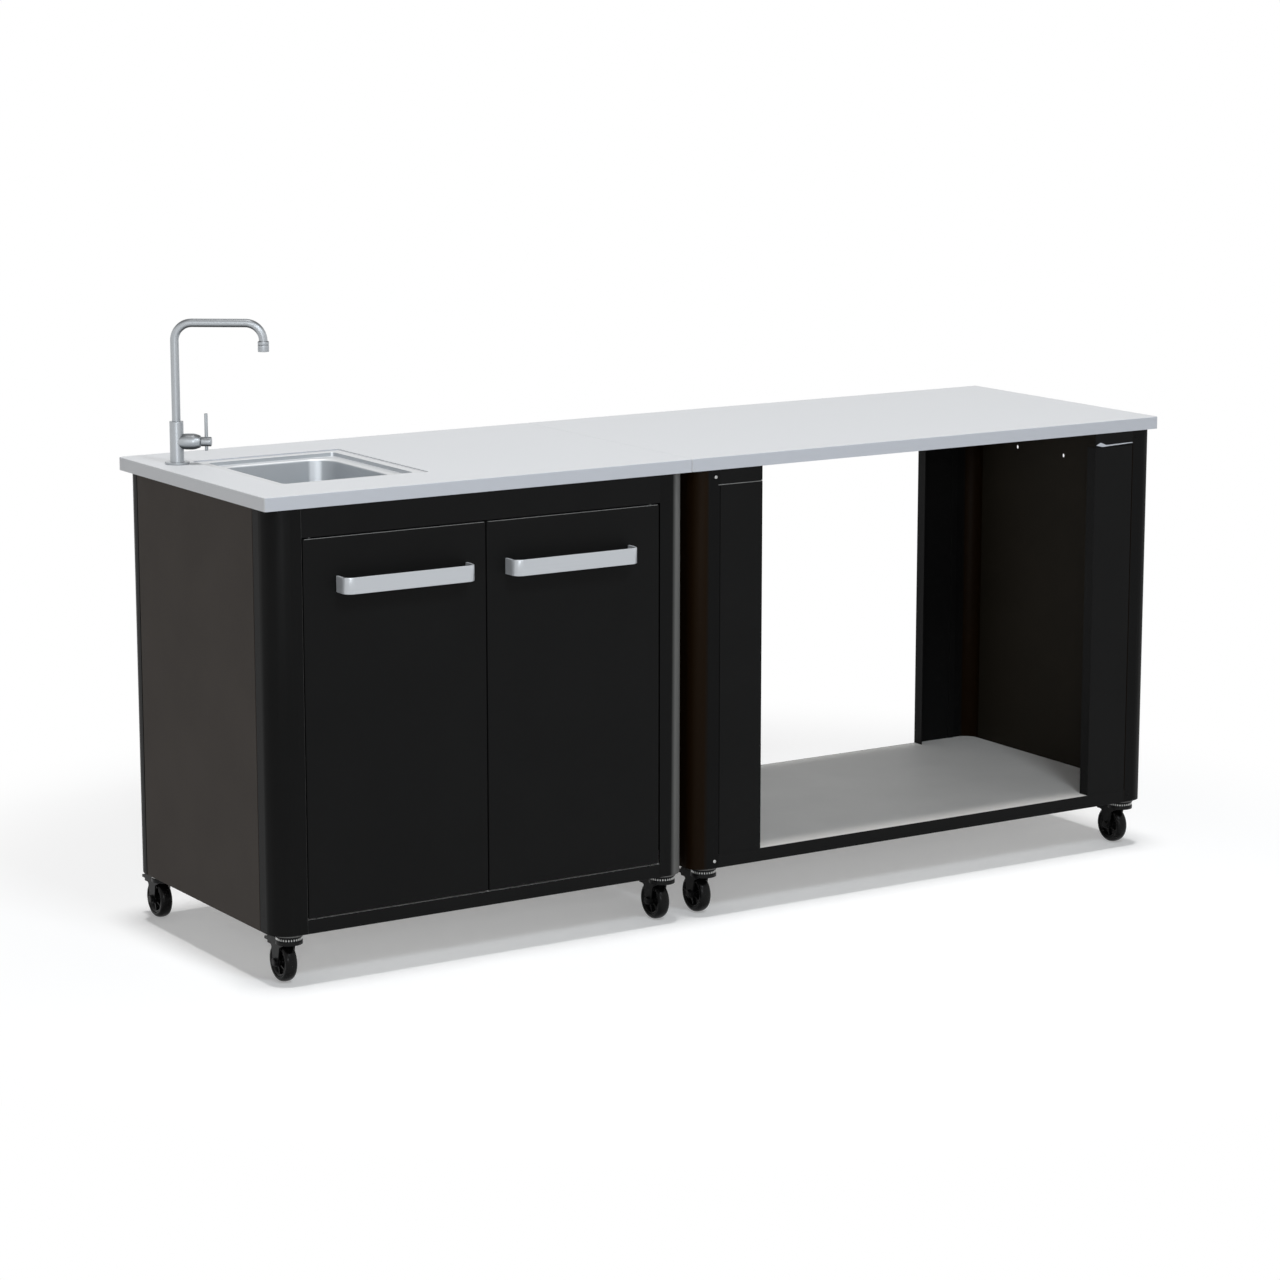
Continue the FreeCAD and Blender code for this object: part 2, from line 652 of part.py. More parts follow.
def door_leaf(door):
    """A tray of folded sheet, open at the back, drilled for its pivots at top and bottom."""
    body = new_body(door.side + "DoorBlock")
    sketch = outline(body, "XY_Plane", rectangle(ZERO, ZERO, DOOR_WIDE, of.door_depth))
    pad(body, sketch, DOOR_TALL)
    fillet(
        body, lambda edge: same(edge.BoundBox.YMin, ZERO) and same(edge.BoundBox.YMax, ZERO), of.door_round)
    at_bench(body, door.left, of.front_inset, DOOR_LOW)
    skin = of.door_sheet
    behind = of.front_inset + of.door_depth + of.overrun
    hollow = bench_box(
        door.side + "DoorHollow", (door.left + skin, of.front_inset + skin, DOOR_LOW + skin),
        (door.left + DOOR_WIDE - skin, behind, DOOR_LOW + DOOR_TALL - skin))
    bore = bench_rod(
        door.side + "DoorBore", "z", (door.pivot_x, PIVOT_Y, DOOR_LOW - of.overrun),
        of.pivot_radius + of.pivot_play, DOOR_TALL + of.overrun * 2)
    deliver(cut(door.side + "Door", body, hollow, bore), door.side + "_door")


def pivot_pins():
    pins = []
    for door in DOORS:
        pins.append(bench_rod(
            door.side + "LowPivot", "z", (door.pivot_x, PIVOT_Y, DECK_TOP), of.pivot_radius, of.pivot_reach))
        pins.append(bench_rod(
            door.side + "HighPivot", "z", (door.pivot_x, PIVOT_Y, HEADER_LOW - of.pivot_reach),
            of.pivot_radius, of.pivot_reach))
    deliver(group("DoorPivotPins", pins), "door_pivot_pins")


HANDLE_LOW = DOOR_LOW + DOOR_TALL - of.handle_drop - of.handle_height


def handle(door):
    """A flat strap bent into a U, with its two feet on the door."""
    body = new_body(door.side + "Handle")
    long, reach, strap = of.handle_length, of.handle_reach, of.handle_strap
    points = [
        (ZERO, ZERO), (ZERO, -reach), (long, -reach), (long, ZERO),
        (long - strap, ZERO), (long - strap, strap - reach), (strap, strap - reach), (strap, ZERO)]
    pad(body, outline(body, "XY_Plane", points), of.handle_height)
    fillet(body, upright_at(points[1], points[2]), of.handle_bend)
    fillet(body, upright_at(points[5], points[6]), of.handle_bend - strap)
    at_bench(body, door.handle_left, of.front_inset, HANDLE_LOW)
    deliver(body, door.side + "_handle")


header_rail()
for door in DOORS:
    door_leaf(door)
    handle(door)
pivot_pins()


# Fillers and strips of the open cabinet

FILLER_HIGH = CABINET_TOP - of.strip_edge


def fillers():
    """Folded sheets beside the bay: a face, a return, and a tongue that laps behind the post."""
    strips = []
    skin = of.coat_sheet
    ends = (("front", of.front_inset, 1), ("back", CABINET_BACK, -1))
    sides = (("left", OPEN.inner_left, 1), ("right", OPEN.inner_right, -1))
    for end, y, toward_y in ends:
        for side, x, toward_x in sides:
            body = new_body(f"{end}{side}Filler")
            width, turn, joint, lap = of.filler_width, of.filler_return, of.filler_joint, of.panel_lap
            points = [(joint, ZERO), (width, ZERO), (width, turn), (width - skin, turn),
                      (width - skin, skin), (joint + lap, skin), (joint + lap, skin * 2),
                      (-lap, skin * 2), (-lap, skin), (joint, skin)]
            points = [(u if toward_x > 0 else mirrored(u), v if toward_y > 0 else mirrored(v))
                      for u, v in points]
            pad(body, outline(body, "XY_Plane", points), FILLER_HIGH - of.filler_gap - DECK_TOP)
            at_bench(body, x, y, DECK_TOP)
            deliver(body, f"open_{end}_{side}_filler")
            low_x = x if toward_x > 0 else x - width
            low_y = y if toward_y > 0 else y - skin
            strips.append(bench_box(
                f"{end}{side}Strip", (low_x, low_y, FILLER_HIGH),
                (low_x + width, low_y + skin, CABINET_TOP)))
    deliver(group("FillerTopStrips", strips), "filler_top_strips")


fillers()


# Fasteners

def link_bolts():
    """Bolts through the two side panels that face each other, into flat nuts on the bay's side."""
    bolts = []
    start = SINK.right - of.coat_sheet * 2
    span = OPEN.left + of.coat_sheet * 2 - start
    for index, y in enumerate(link_places()):
        shank = bench_rod(f"LinkShank{index}", "x", (start, y, LINK_HIGH), of.link_bolt, span)
        head = bench_rod(
            f"LinkHead{index}", "x", (start - of.link_head_edge, y, LINK_HIGH),
            of.link_head, of.link_head_edge)
        nut = bench_rod(
            f"LinkNut{index}", "x", (start + span, y, LINK_HIGH), of.link_head, of.link_nut_edge)
        bolts.append(fuse(f"LinkBolt{index}", head, shank, nut))
    deliver(group("LinkBolts", bolts), "link_bolts")


def panel_screws():
    """Dome screws near the ends of the open cabinet's front post legs."""
    screws = []
    for side, x in (("Left", OPEN.inner_left - of.screw_inset), ("Right", OPEN.inner_right + of.screw_inset)):
        for end, z in (("Low", of.cabinet_floor + of.screw_drop), ("High", CABINET_TOP - of.screw_drop)):
            face = of.front_inset
            head = bench_rod(
                f"Screw{side}{end}Head", "y", (x, face - of.screw_head_edge, z),
                of.screw_head, of.screw_head_edge)
            shank = bench_rod(f"Screw{side}{end}Shank", "y", (x, face, z), of.screw_shank, of.coat_sheet)
            screws.append(fuse(f"Screw{side}{end}", head, shank))
    deliver(group("PanelScrews", screws), "panel_screws")


link_bolts()
panel_screws()


# Casters, each built round its swivel axis with the floor at zero and the wheel trailing towards +Y

RACE_LOW = of.cabinet_floor - of.plate_edge - of.race_edge
FORK_TOP = RACE_LOW - of.turning_play
FORK_WIDE = of.cheek_gap + of.cheek_sheet * 2
PIVOT_HIGH = FORK_TOP - of.pedal_drop
CASTERS = [
    (f"{cabinet.name}_{end}_{side}", x, y)
    for cabinet in (SINK, OPEN)
    for end, y in (("front", of.front_inset + of.caster_front), ("back", REAR_SWIVEL))
    for side, x in (("left", cabinet.left + of.caster_inset), ("right", cabinet.right - of.caster_inset))]


def caster_plates():
    plates = []
    for index, (name, x, y) in enumerate(CASTERS):
        plate = bench_rod(
            f"Plate{index}", "z", (x, y, of.cabinet_floor - of.plate_edge), of.plate_radius, of.plate_edge)
        race = bench_rod(f"Race{index}", "z", (x, y, RACE_LOW), of.race_radius, of.race_edge)
        kingpin = bench_rod(
            f"Kingpin{index}", "z", (x, y, RACE_LOW - of.kingpin_length),
            of.kingpin_radius, of.kingpin_length)
        plates.append(fuse(f"CasterTop{index}", plate, race, kingpin))
    deliver(group("CasterPlates", plates), "caster_plates")


def caster_fork(name, x, y):
    """Two cheeks under a crown and its bearing cup, with the wheel's axle bolted across them."""
    body = new_body(name + "Fork")
    toe_low = of.wheel_radius - of.fork_toe
    ear_low = FORK_TOP - of.fork_ear
    points = [
        (-of.fork_front, FORK_TOP), (of.fork_back, FORK_TOP), (of.fork_back, ear_low),
        (of.wheel_trail + of.fork_waist, ear_low), (of.wheel_trail + of.fork_toe, toe_low),
        (of.wheel_trail - of.fork_toe, toe_low), (of.wheel_trail - of.fork_waist, ear_low),
        (-of.fork_front, FORK_TOP - of.fork_shoulder)]
    pad(body, outline(body, "YZ_Plane", points), FORK_WIDE)
    ends = points[3:7]
    fillet(body, lambda edge: edge.BoundBox.XLength > NEAR and any(
        same(edge.CenterOfMass.y, v) and same(edge.CenterOfMass.z, w) for v, w in ends), of.fork_round)
    half = FORK_WIDE / 2
    place(body, -half, ZERO, ZERO)
    gap = box(
        name + "Gap", (-(of.cheek_gap / 2), -of.fork_front - of.overrun, ZERO),
        (of.cheek_gap, of.fork_front + of.fork_back + of.overrun * 2, FORK_TOP - of.fork_crown))
    king = rod(
        name + "KingBore", "z", (ZERO, ZERO, FORK_TOP - of.fork_crown - of.overrun),
        of.kingpin_radius + of.bore_play, of.fork_crown + of.overrun * 2)
    pivot = rod(
        name + "PedalBore", "x", (-half - of.overrun, of.pedal_pivot, PIVOT_HIGH),
        of.pedal_pin + of.bore_play, FORK_WIDE + of.overrun * 2)
    cup = rod(name + "Cup", "z", (ZERO, ZERO, FORK_TOP - of.cup_depth), of.cup_radius, of.cup_depth)
    crown = fuse(name + "Crown", cut(name + "Hollow", body, gap), cup)
    cheeks = cut(name + "Cheeks", crown, king, pivot)
    axle = rod(name + "Axle", "x", (-half, of.wheel_trail, of.wheel_radius), of.axle_radius, FORK_WIDE)
    heads = [
        rod(f"{name}AxleHead{i}", "x", (start, of.wheel_trail, of.wheel_radius),
            of.axle_head, of.axle_head_edge)
        for i, start in enumerate((-half - of.axle_head_edge, half))]
    fork = fuse(name + "ForkWhole", cheeks, axle, *heads)
    at_bench(fork, x, y, ZERO)
    deliver(fork, name + "_fork")


def caster_wheel(name, x, y):
    """A tyre on a thin web, turned round its axle."""
    body = new_body(name + "Wheel")
    bore = of.axle_radius + of.bore_play
    half, web = of.wheel_width / 2, of.web_width / 2
    hub = of.cheek_gap / 2 - of.hub_play
    rim = of.wheel_radius - of.tyre_depth
    points = [
        (-hub, bore), (-hub, of.hub_radius), (-web, of.hub_radius), (-web, rim), (-half, rim),
        (-half, of.wheel_radius), (half, of.wheel_radius), (half, rim), (web, rim), (web, of.hub_radius),
        (hub, of.hub_radius), (hub, bore)]
    revolve(body, outline(body, "XZ_Plane", points), "H_Axis")
    fillet(body, lambda edge: same(getattr(edge.Curve, "Radius", 0), of.wheel_radius), of.tyre_shoulder)
    at_bench(body, x, y + of.wheel_trail, of.wheel_radius)
    deliver(body, name + "_wheel")


def caster_pedal(name, x, y):
    """A brake pedal that tips on a pin between the fork's cheeks."""
    body = new_body(name + "PedalPlate")
    low = PIVOT_HIGH - of.pedal_edge / 2
    high = PIVOT_HIGH + of.pedal_edge / 2
    points = [
        (of.pedal_start, low), (of.pedal_reach, low), (of.pedal_reach, high - of.pedal_rise),
        (of.fork_back, high + of.pedal_rise), (of.pedal_start, high)]
    pad(body, outline(body, "YZ_Plane", points), of.pedal_width)
    place(body, -(of.pedal_width / 2), ZERO, ZERO)
    pin = rod(name + "PedalPin", "x", (-(FORK_WIDE / 2), of.pedal_pivot, PIVOT_HIGH), of.pedal_pin, FORK_WIDE)
    pedal = fuse(name + "Pedal", body, pin)
    at_bench(pedal, x, y, ZERO)
    deliver(pedal, name + "_pedal")


caster_plates()
for name, x, y in CASTERS:
    caster_fork(name, x, y)
    caster_wheel(name, x, y)
    caster_pedal(name, x, y)


# Checks and files

doc.recompute()
for entry in doc.Objects:
    if "Invalid" in entry.State or "Error" in entry.State:
        raise RuntimeError(f"{entry.Label} failed: {entry.State}")
for node in nodes:
    if node.Shape.isNull() or not node.Shape.isValid():
        raise RuntimeError(f"{node.Label} has no valid shape")

os.makedirs("parts", exist_ok=True)
for node in nodes:
    node.Shape.exportStep(f"parts/{node.Label}.step")
    print(node.Label, len(node.Shape.Solids), round(node.Shape.Volume))
print(len(nodes), "sub-parts")
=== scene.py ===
import json
import math

import bmesh
import bpy
from mathutils import Matrix, Vector


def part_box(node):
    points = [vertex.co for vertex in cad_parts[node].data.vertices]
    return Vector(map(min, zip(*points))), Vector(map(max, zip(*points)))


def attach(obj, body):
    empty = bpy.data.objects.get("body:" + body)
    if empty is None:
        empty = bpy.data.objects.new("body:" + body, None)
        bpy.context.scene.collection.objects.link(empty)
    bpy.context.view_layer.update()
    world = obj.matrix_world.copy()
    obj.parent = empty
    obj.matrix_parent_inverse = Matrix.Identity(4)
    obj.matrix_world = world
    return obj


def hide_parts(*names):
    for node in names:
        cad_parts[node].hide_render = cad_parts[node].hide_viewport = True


# Outdoor kitchen: finishes, and the pieces that need rounder or finer meshes than their solids.
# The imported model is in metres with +Z up, the front towards -Y and the origin on the floor.
# Sizes here are in millimetres, measured from the left front corner of the worktops.

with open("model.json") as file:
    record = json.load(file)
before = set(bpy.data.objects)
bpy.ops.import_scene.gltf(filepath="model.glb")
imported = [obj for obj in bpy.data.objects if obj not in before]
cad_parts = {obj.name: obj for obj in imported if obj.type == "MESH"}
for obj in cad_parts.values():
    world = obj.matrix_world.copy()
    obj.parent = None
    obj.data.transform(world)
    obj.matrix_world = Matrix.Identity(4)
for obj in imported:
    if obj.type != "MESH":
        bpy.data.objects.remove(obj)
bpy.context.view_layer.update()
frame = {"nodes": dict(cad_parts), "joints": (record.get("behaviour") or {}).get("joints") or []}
nodes = frame["nodes"]
joint_at = {joint["name"]: Vector(joint["pos_m"]) for joint in frame["joints"]}

MM = 0.001
ORIGIN = Vector((1020, 297.5, 0))
COUNTER = 900


# Node graphs of the materials

class Graph:
    """A material's node tree, with short ways to add nodes and join them."""

    def __init__(self, name):
        self.material = bpy.data.materials.new(name)
        self.material.use_nodes = True
        self.tree = self.material.node_tree
        self.shader = self.tree.nodes["Principled BSDF"]
        self.place = self.add("ShaderNodeTexCoord").outputs["Object"]

    def add(self, kind, **settings):
        node = self.tree.nodes.new(kind)
        for key, value in settings.items():
            setattr(node, key, value)
        return node

    def join(self, source, target):
        self.tree.links.new(source, target)

    def noise(self, scale, detail=2.0, stretch=(1, 1, 1)):
        """A noise value with features of about 1 / scale metres, drawn out along some axes."""
        mapping = self.add("ShaderNodeMapping")
        mapping.inputs["Scale"].default_value = stretch
        self.join(self.place, mapping.inputs["Vector"])
        texture = self.add("ShaderNodeTexNoise")
        texture.inputs["Scale"].default_value = scale
        texture.inputs["Detail"].default_value = detail
        self.join(mapping.outputs["Vector"], texture.inputs["Vector"])
        return texture.outputs["Fac"]

    def spread(self, value, low, high, start=0.3, end=0.7):
        """Maps a noise value to a range."""
        node = self.add("ShaderNodeMapRange")
        for socket, number in zip(("From Min", "From Max", "To Min", "To Max"), (start, end, low, high)):
            node.inputs[socket].default_value = number
        self.join(value, node.inputs["Value"])
        return node.outputs["Result"]

    def mix(self, share, first, second):
        """Mixes two colours, each a colour or a socket, by a share from 0 to 1."""
        node = self.add("ShaderNodeMix", data_type="RGBA")
        sockets = [socket for socket in node.inputs if socket.type == "RGBA"]
        for socket, colour in zip(sockets, (first, second)):
            if isinstance(colour, bpy.types.NodeSocket):
                self.join(colour, socket)
            else:
                socket.default_value = (*colour, 1)
        self.join(share, node.inputs["Factor"])
        return [socket for socket in node.outputs if socket.type == "RGBA"][0]

    def tint(self, value, first, second):
        """Mixes two colours by a noise value."""
        return self.mix(self.spread(value, 0, 1), first, second)

    def turned_to(self, colour, other, direction, start, end):
        """The colour, going over to another one as the surface turns towards a direction."""
        along = self.add("ShaderNodeVectorMath", operation="DOT_PRODUCT")
        along.inputs[1].default_value = direction
        self.join(self.add("ShaderNodeTexCoord").outputs["Normal"], along.inputs[0])
        return self.mix(self.spread(along.outputs["Value"], 0, 1, start, end), colour, other)

    def bump(self, value, strength, distance):
        node = self.add("ShaderNodeBump")
        node.inputs["Strength"].default_value = strength
        node.inputs["Distance"].default_value = distance
        self.join(value, node.inputs["Height"])
        self.join(node.outputs["Normal"], self.shader.inputs["Normal"])

    def set(self, **numbers):
        for name, number in numbers.items():
            self.shader.inputs[name.replace("_", " ")].default_value = number


def shades(colour, share):
    """A darker and a lighter tone of one colour."""
    return [[component * (1 + change) for component in colour] for change in (-share, share)]


def powder_coat(name, colour, roughness, specular, mottle=0.08, grain=900, turns=()):
    """Baked coat: an orange-peel grain, faint clouds of tone, and other tones where it turns some way."""
    graph = Graph(name)
    fine = graph.noise(grain, 3)
    coat = graph.tint(graph.noise(7, 4), *shades(colour, mottle))
    for turn in turns:
        coat = graph.turned_to(coat, *turn)
    graph.join(coat, graph.shader.inputs["Base Color"])
    graph.join(graph.spread(fine, roughness - 0.06, roughness + 0.06), graph.shader.inputs["Roughness"])
    graph.bump(fine, 0.25, 0.1 * MM)
    graph.set(Specular_IOR_Level=specular)
    return graph.material


def brushed_metal(name, colour, roughness, metallic, stretch, tone=0.03, specular=0.5, score=0.05,
                  turns=()):
    """Metal with fine scratches drawn out along some axes, and painted light and shade where it turns some
    way.
    """
    graph = Graph(name)
    lines = graph.noise(120, 4, stretch)
    metal = graph.tint(lines, *shades(colour, tone))
    for turn in turns:
        metal = graph.turned_to(metal, *turn)
    graph.join(metal, graph.shader.inputs["Base Color"])
    graph.join(graph.spread(lines, roughness - score, roughness + score), graph.shader.inputs["Roughness"])
    graph.bump(lines, score, 0.03 * MM)
    graph.set(Metallic=metallic, Specular_IOR_Level=specular)
    return graph.material


def moulded(name, colour, roughness, specular, mottle=0.1):
    """Rubber or plastic: a soft grain with slightly uneven gloss."""
    graph = Graph(name)
    cloud = graph.noise(45, 3)
    graph.join(graph.tint(cloud, *shades(colour, mottle)), graph.shader.inputs["Base Color"])
    graph.join(graph.spread(cloud, roughness - 0.05, roughness + 0.08), graph.shader.inputs["Roughness"])
    graph.bump(graph.noise(1500, 2), 0.1, 0.05 * MM)
    graph.set(Specular_IOR_Level=specular)
    return graph.material


ALONG_X = (0.05, 12, 12)
ROUND_Z = (0.4, 0.4, 12)
ALL_WAYS = (6, 6, 6)
SATIN = (0.4, 0.4, 2)
UPWARD = (0, 0, 1)
DOWNWARD = (0, 0, -1)
LEFTWARD = (-1, 0, 0)
RIGHTWARD = (1, 0, 0)
FRONTWARD = (0, -1, 0)
FRONT_LEFTWARD = (-0.375, -0.927, 0)

# Painted shade: faces that turn to the front go darker and bluer than the top.
WORKTOP = brushed_metal("worktop_satin", (0.67, 0.68, 0.695), 0.55, 0.07, ALONG_X, 0.012, 0.2,
                        turns=[((0.588, 0.609, 0.653), FRONTWARD, 0.5, 0.9)])
# Painted reflection and light: a bright band where the bowl's and the well's corners turn to the front left,
# a painted highlight on the rims' rounds, and level faces painted lighter than the walls.
BASIN = brushed_metal("basin_satin", (0.47, 0.495, 0.52), 0.45, 0.5, ROUND_Z, 0.008, 0.4, 0.02,
                      [((0.74, 0.765, 0.79), FRONT_LEFTWARD, 0.95, 0.975),
                       ((0.70, 0.71, 0.72), UPWARD, 0.3, 0.55), ((0.60, 0.61, 0.62), UPWARD, 0.85, 0.98)])
TAP_TONE = (0.43, 0.452, 0.472)
# Painted shade: the tap goes near black where it faces down and darker on its upper slopes, with its plain
# tone only on the very top.
TAP = brushed_metal("tap_brushed", TAP_TONE, 0.4, 0.75, SATIN, 0.01, 0.5, 0.004,
                    [((0.06, 0.063, 0.067), DOWNWARD, 0.3, 0.65), ((0.11, 0.115, 0.12), UPWARD, 0.3, 0.7),
                     (TAP_TONE, UPWARD, 0.93, 0.99)])
HANDLE = brushed_metal("handle_satin", (0.57, 0.59, 0.615), 0.35, 0.3, ALONG_X, 0.015, 0.5, 0.03)
ZINC = brushed_metal("zinc_plated", (0.50, 0.50, 0.49), 0.38, 0.7, ALL_WAYS, 0.1)
DULL_ZINC = brushed_metal("zinc_dulled", (0.10, 0.10, 0.098), 0.45, 0.6, ALL_WAYS, 0.1)
BLACK = powder_coat("black_powder_coat", (0.006, 0.006, 0.006), 0.6, 0.08)
# Painted highlight: the sink cabinet's posts turn pale grey where their rounds face right.
SINK_POST = powder_coat("black_coat_painted_highlight", (0.006, 0.006, 0.006), 0.42, 0.06,
                        turns=[((0.15, 0.15, 0.145), RIGHTWARD, 0.08, 0.32)])
# Painted light: the open cabinet's posts turn brown where they face left, as if lit in the gap between the
# cabinets.
OPEN_POST = powder_coat("black_coat_painted_brown_light", (0.006, 0.006, 0.006), 0.5, 0.05,
                        turns=[((0.008, 0.0035, 0.0006), LEFTWARD, 0.1, 0.3)])
# Painted highlight: a pale grey for the beads along the top edges of the doors and the left filler.
EDGE = powder_coat("pale_bead_painted_highlight", (0.22, 0.22, 0.215), 0.5, 0.2)
# One side coat in two copies: the outer left panel's umber is painted light, and the brown-black of the other
# side panels is that coat in painted shade.
PAINTED_LIGHT_COAT = powder_coat("side_coat_painted_light", (0.061, 0.053, 0.047), 0.7, 0.08, 0.06)
PAINTED_SHADE_COAT = powder_coat("side_coat_painted_shade", (0.016, 0.013, 0.009), 0.65, 0.08)
GREY = powder_coat("grey_powder_coat", (0.78, 0.76, 0.73), 0.6, 0.2, 0.03,
                   turns=[((0.006, 0.006, 0.006), FRONTWARD, 0.4, 0.8)])
CASTER_BLACK = powder_coat("caster_enamel", (0.005, 0.005, 0.005), 0.35, 0.12, 0.1, 350)
TYRE = moulded("tyre_rubber", (0.003, 0.003, 0.003), 0.24, 0.13)
PEDAL = moulded("pedal_moulding", (0.008, 0.008, 0.008), 0.4, 0.2)
TRAP = moulded("trap_moulding", (0.62, 0.62, 0.60), 0.4, 0.4, 0.02)


# Finishes of the nodes that keep their solids

WELD = 0.01 * MM
SHARP = math.radians(35)
SHEET_EDGE = 0.5 * MM
TOP_EDGE = 0.8 * MM
STRAP_EDGE = 0.9 * MM
FORK_EDGE = 0.6 * MM
MOULDED_EDGE = 0.8 * MM
TRAP_EDGE = 0.6 * MM
FASTENER_EDGE = 0.4 * MM


def dress(name, material, edge=0.0):
    """Gives a node its finish, and a small round on its sharp edges that catches the light."""
    node = nodes[name]
    node.data.materials.clear()
    node.data.materials.append(material)
    if not edge:
        return
    weld = node.modifiers.new("weld", "WELD")
    weld.merge_threshold = WELD
    bevel = node.modifiers.new("edge", "BEVEL")
    bevel.width = edge
    bevel.segments = 2
    bevel.limit_method = "ANGLE"
    bevel.angle_limit = SHARP
    bevel.harden_normals = True


for name in nodes:
    if name.endswith("_worktop"):
        dress(name, WORKTOP, TOP_EDGE)
    elif name.startswith("tap_"):
        dress(name, TAP)
    elif name.endswith("_handle"):
        dress(name, HANDLE, STRAP_EDGE)
    # The outer left panel takes the side coat with painted light; the other side panels take it in painted
    # shade.
    elif name == "sink_left_panel":
        dress(name, PAINTED_LIGHT_COAT, SHEET_EDGE)
    elif name.endswith("_panel") and name != "sink_back_panel":
        dress(name, PAINTED_SHADE_COAT, SHEET_EDGE)
    elif name in ("open_deck", "sink_deck"):
        dress(name, GREY, SHEET_EDGE)
    elif name.endswith("_fork"):
        dress(name, CASTER_BLACK, FORK_EDGE)
    elif name.endswith("_wheel"):
        dress(name, TYRE)
    elif name.endswith("_pedal"):
        dress(name, PEDAL, MOULDED_EDGE)
    # The sink cabinet's posts take the coat with a painted highlight on their right-turned rounds.
    elif name == "sink_corner_posts":
        dress(name, SINK_POST, SHEET_EDGE)
    # The open cabinet's posts take the coat with painted brown light on their left-turned faces.
    elif name == "open_corner_posts":
        dress(name, OPEN_POST, SHEET_EDGE)
    elif name in ("caster_plates", "door_pivot_pins"):
        dress(name, DULL_ZINC, FASTENER_EDGE)
    elif name in ("link_bolts", "panel_screws"):
        dress(name, ZINC, FASTENER_EDGE)
    elif name in ("sink_basin", "sink_drain"):
        dress(name, BASIN)
    elif name == "sink_trap":
        dress(name, TRAP, TRAP_EDGE)
    else:
        dress(name, BLACK, SHEET_EDGE)


# Meshes of the added pieces

def bench(x, y, z):
    """The place of a point given in millimetres from the left front corner of the worktops."""
    return Matrix.Translation(Vector((x, y, z)) - ORIGIN)


def turned(degrees, axis):
    return Matrix.Rotation(math.radians(degrees), 4, axis)


ALONG_PLUS_X = turned(90, "Y")


def softened(outline, radius, steps=4):
    """The outline with each inner corner rounded off by a short curve."""
    points = [Vector(p) for p in outline]
    soft = [points[0]]
    for before, corner, after in zip(points, points[1:], points[2:]):
        reach = min(radius, (before - corner).length * 0.48, (after - corner).length * 0.48)
        start = corner + (before - corner).normalized() * reach
        end = corner + (after - corner).normalized() * reach
        for step in range(steps + 1):
            share = step / steps
            soft.append(start.lerp(corner, share).lerp(corner.lerp(end, share), share))
    soft.append(points[-1])
    return soft


def rod(radius, start, end):
    """The outline of a plain rod, as (radius, height) pairs."""
    return [(0, start), (radius, start), (radius, end), (0, end)]


def level_ring(radii, height):
    """A level ring, with a radius given for each of its points."""
    angles = [2 * math.pi * i / len(radii) for i in range(len(radii))]
    return [(radius * math.cos(a), radius * math.sin(a), height) for radius, a in zip(radii, angles)]


class Shape:
    """The points and faces of one piece, in millimetres."""

    def __init__(self):
        self.points = []
        self.faces = []

    def add(self, points, faces, place=Matrix.Identity(4)):
        start = len(self.points)
        self.points += [place @ Vector(point) for point in points]
        self.faces += [[start + index for index in face] for face in faces]

    def loft(self, rings, place=Matrix.Identity(4), closed=False):
        """Skins a row of rings of equally many points; closed joins the last ring to the first."""
        count = len(rings[0])
        points = [point for ring in rings for point in ring]
        pairs = list(zip(range(len(rings)), range(1, len(rings))))
        if closed:
            pairs.append((len(rings) - 1, 0))
        faces = []
        for one, two in pairs:
            for i in range(count):
                j = (i + 1) % count
                faces.append((one * count + i, one * count + j, two * count + j, two * count + i))
        self.add(points, faces, place)

    def turn(self, outline, place, sides=40, closed=False):
        """Turns an outline of (radius, height) pairs round the upright axis of a place."""
        self.loft([level_ring([radius] * sides, height) for radius, height in outline], place, closed)

    def slab(self, low, high, edge, place=Matrix.Identity(4)):
        """A block between two corners with its edges cut off at a slant."""
        (x0, y0, z0), (x1, y1, z1) = low, high
        rings = []
        for inset, z in ((edge, z0), (0, z0 + edge), (0, z1 - edge), (edge, z1)):
            xs, ys = (x0 + inset, x1 - inset), (y0 + inset, y1 - inset)
            rings.append([(xs[0], ys[0] + edge, z), (xs[0] + edge, ys[0], z), (xs[1] - edge, ys[0], z),
                          (xs[1], ys[0] + edge, z), (xs[1], ys[1] - edge, z), (xs[1] - edge, ys[1], z),
                          (xs[0] + edge, ys[1], z), (xs[0], ys[1] - edge, z)])
        self.loft(rings, place)
        self.add(rings[0], [range(8)], place)
        self.add(rings[-1], [range(8)], place)

    def piece(self, name, material, slot, body, *replaced, sheet=0.0):
        """Makes the object, welded and smooth, and lets it ride on its body."""
        mesh = bpy.data.meshes.new(name)
        mesh.from_pydata([point * MM for point in self.points], [], self.faces)
        work = bmesh.new()
        work.from_mesh(mesh)
        bmesh.ops.remove_doubles(work, verts=work.verts, dist=WELD)
        bmesh.ops.dissolve_degenerate(work, edges=work.edges, dist=WELD)
        if not sheet:
            bmesh.ops.recalc_face_normals(work, faces=work.faces)
        work.to_mesh(mesh)
        work.free()
        mesh.shade_smooth()
        mesh.set_sharp_from_angle(angle=SHARP)
        mesh.materials.append(material)
        made = bpy.data.objects.new(name, mesh)
        bpy.context.scene.collection.objects.link(made)
        if sheet:
            thick = made.modifiers.new("sheet", "SOLIDIFY")
            thick.thickness = sheet * MM
            thick.offset = -1
        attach(made, body)
        if replaced:
            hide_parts(*replaced)
        return made


# Pressed sink: ledge, stepped well, and a bowl with rounded corners down to its waste

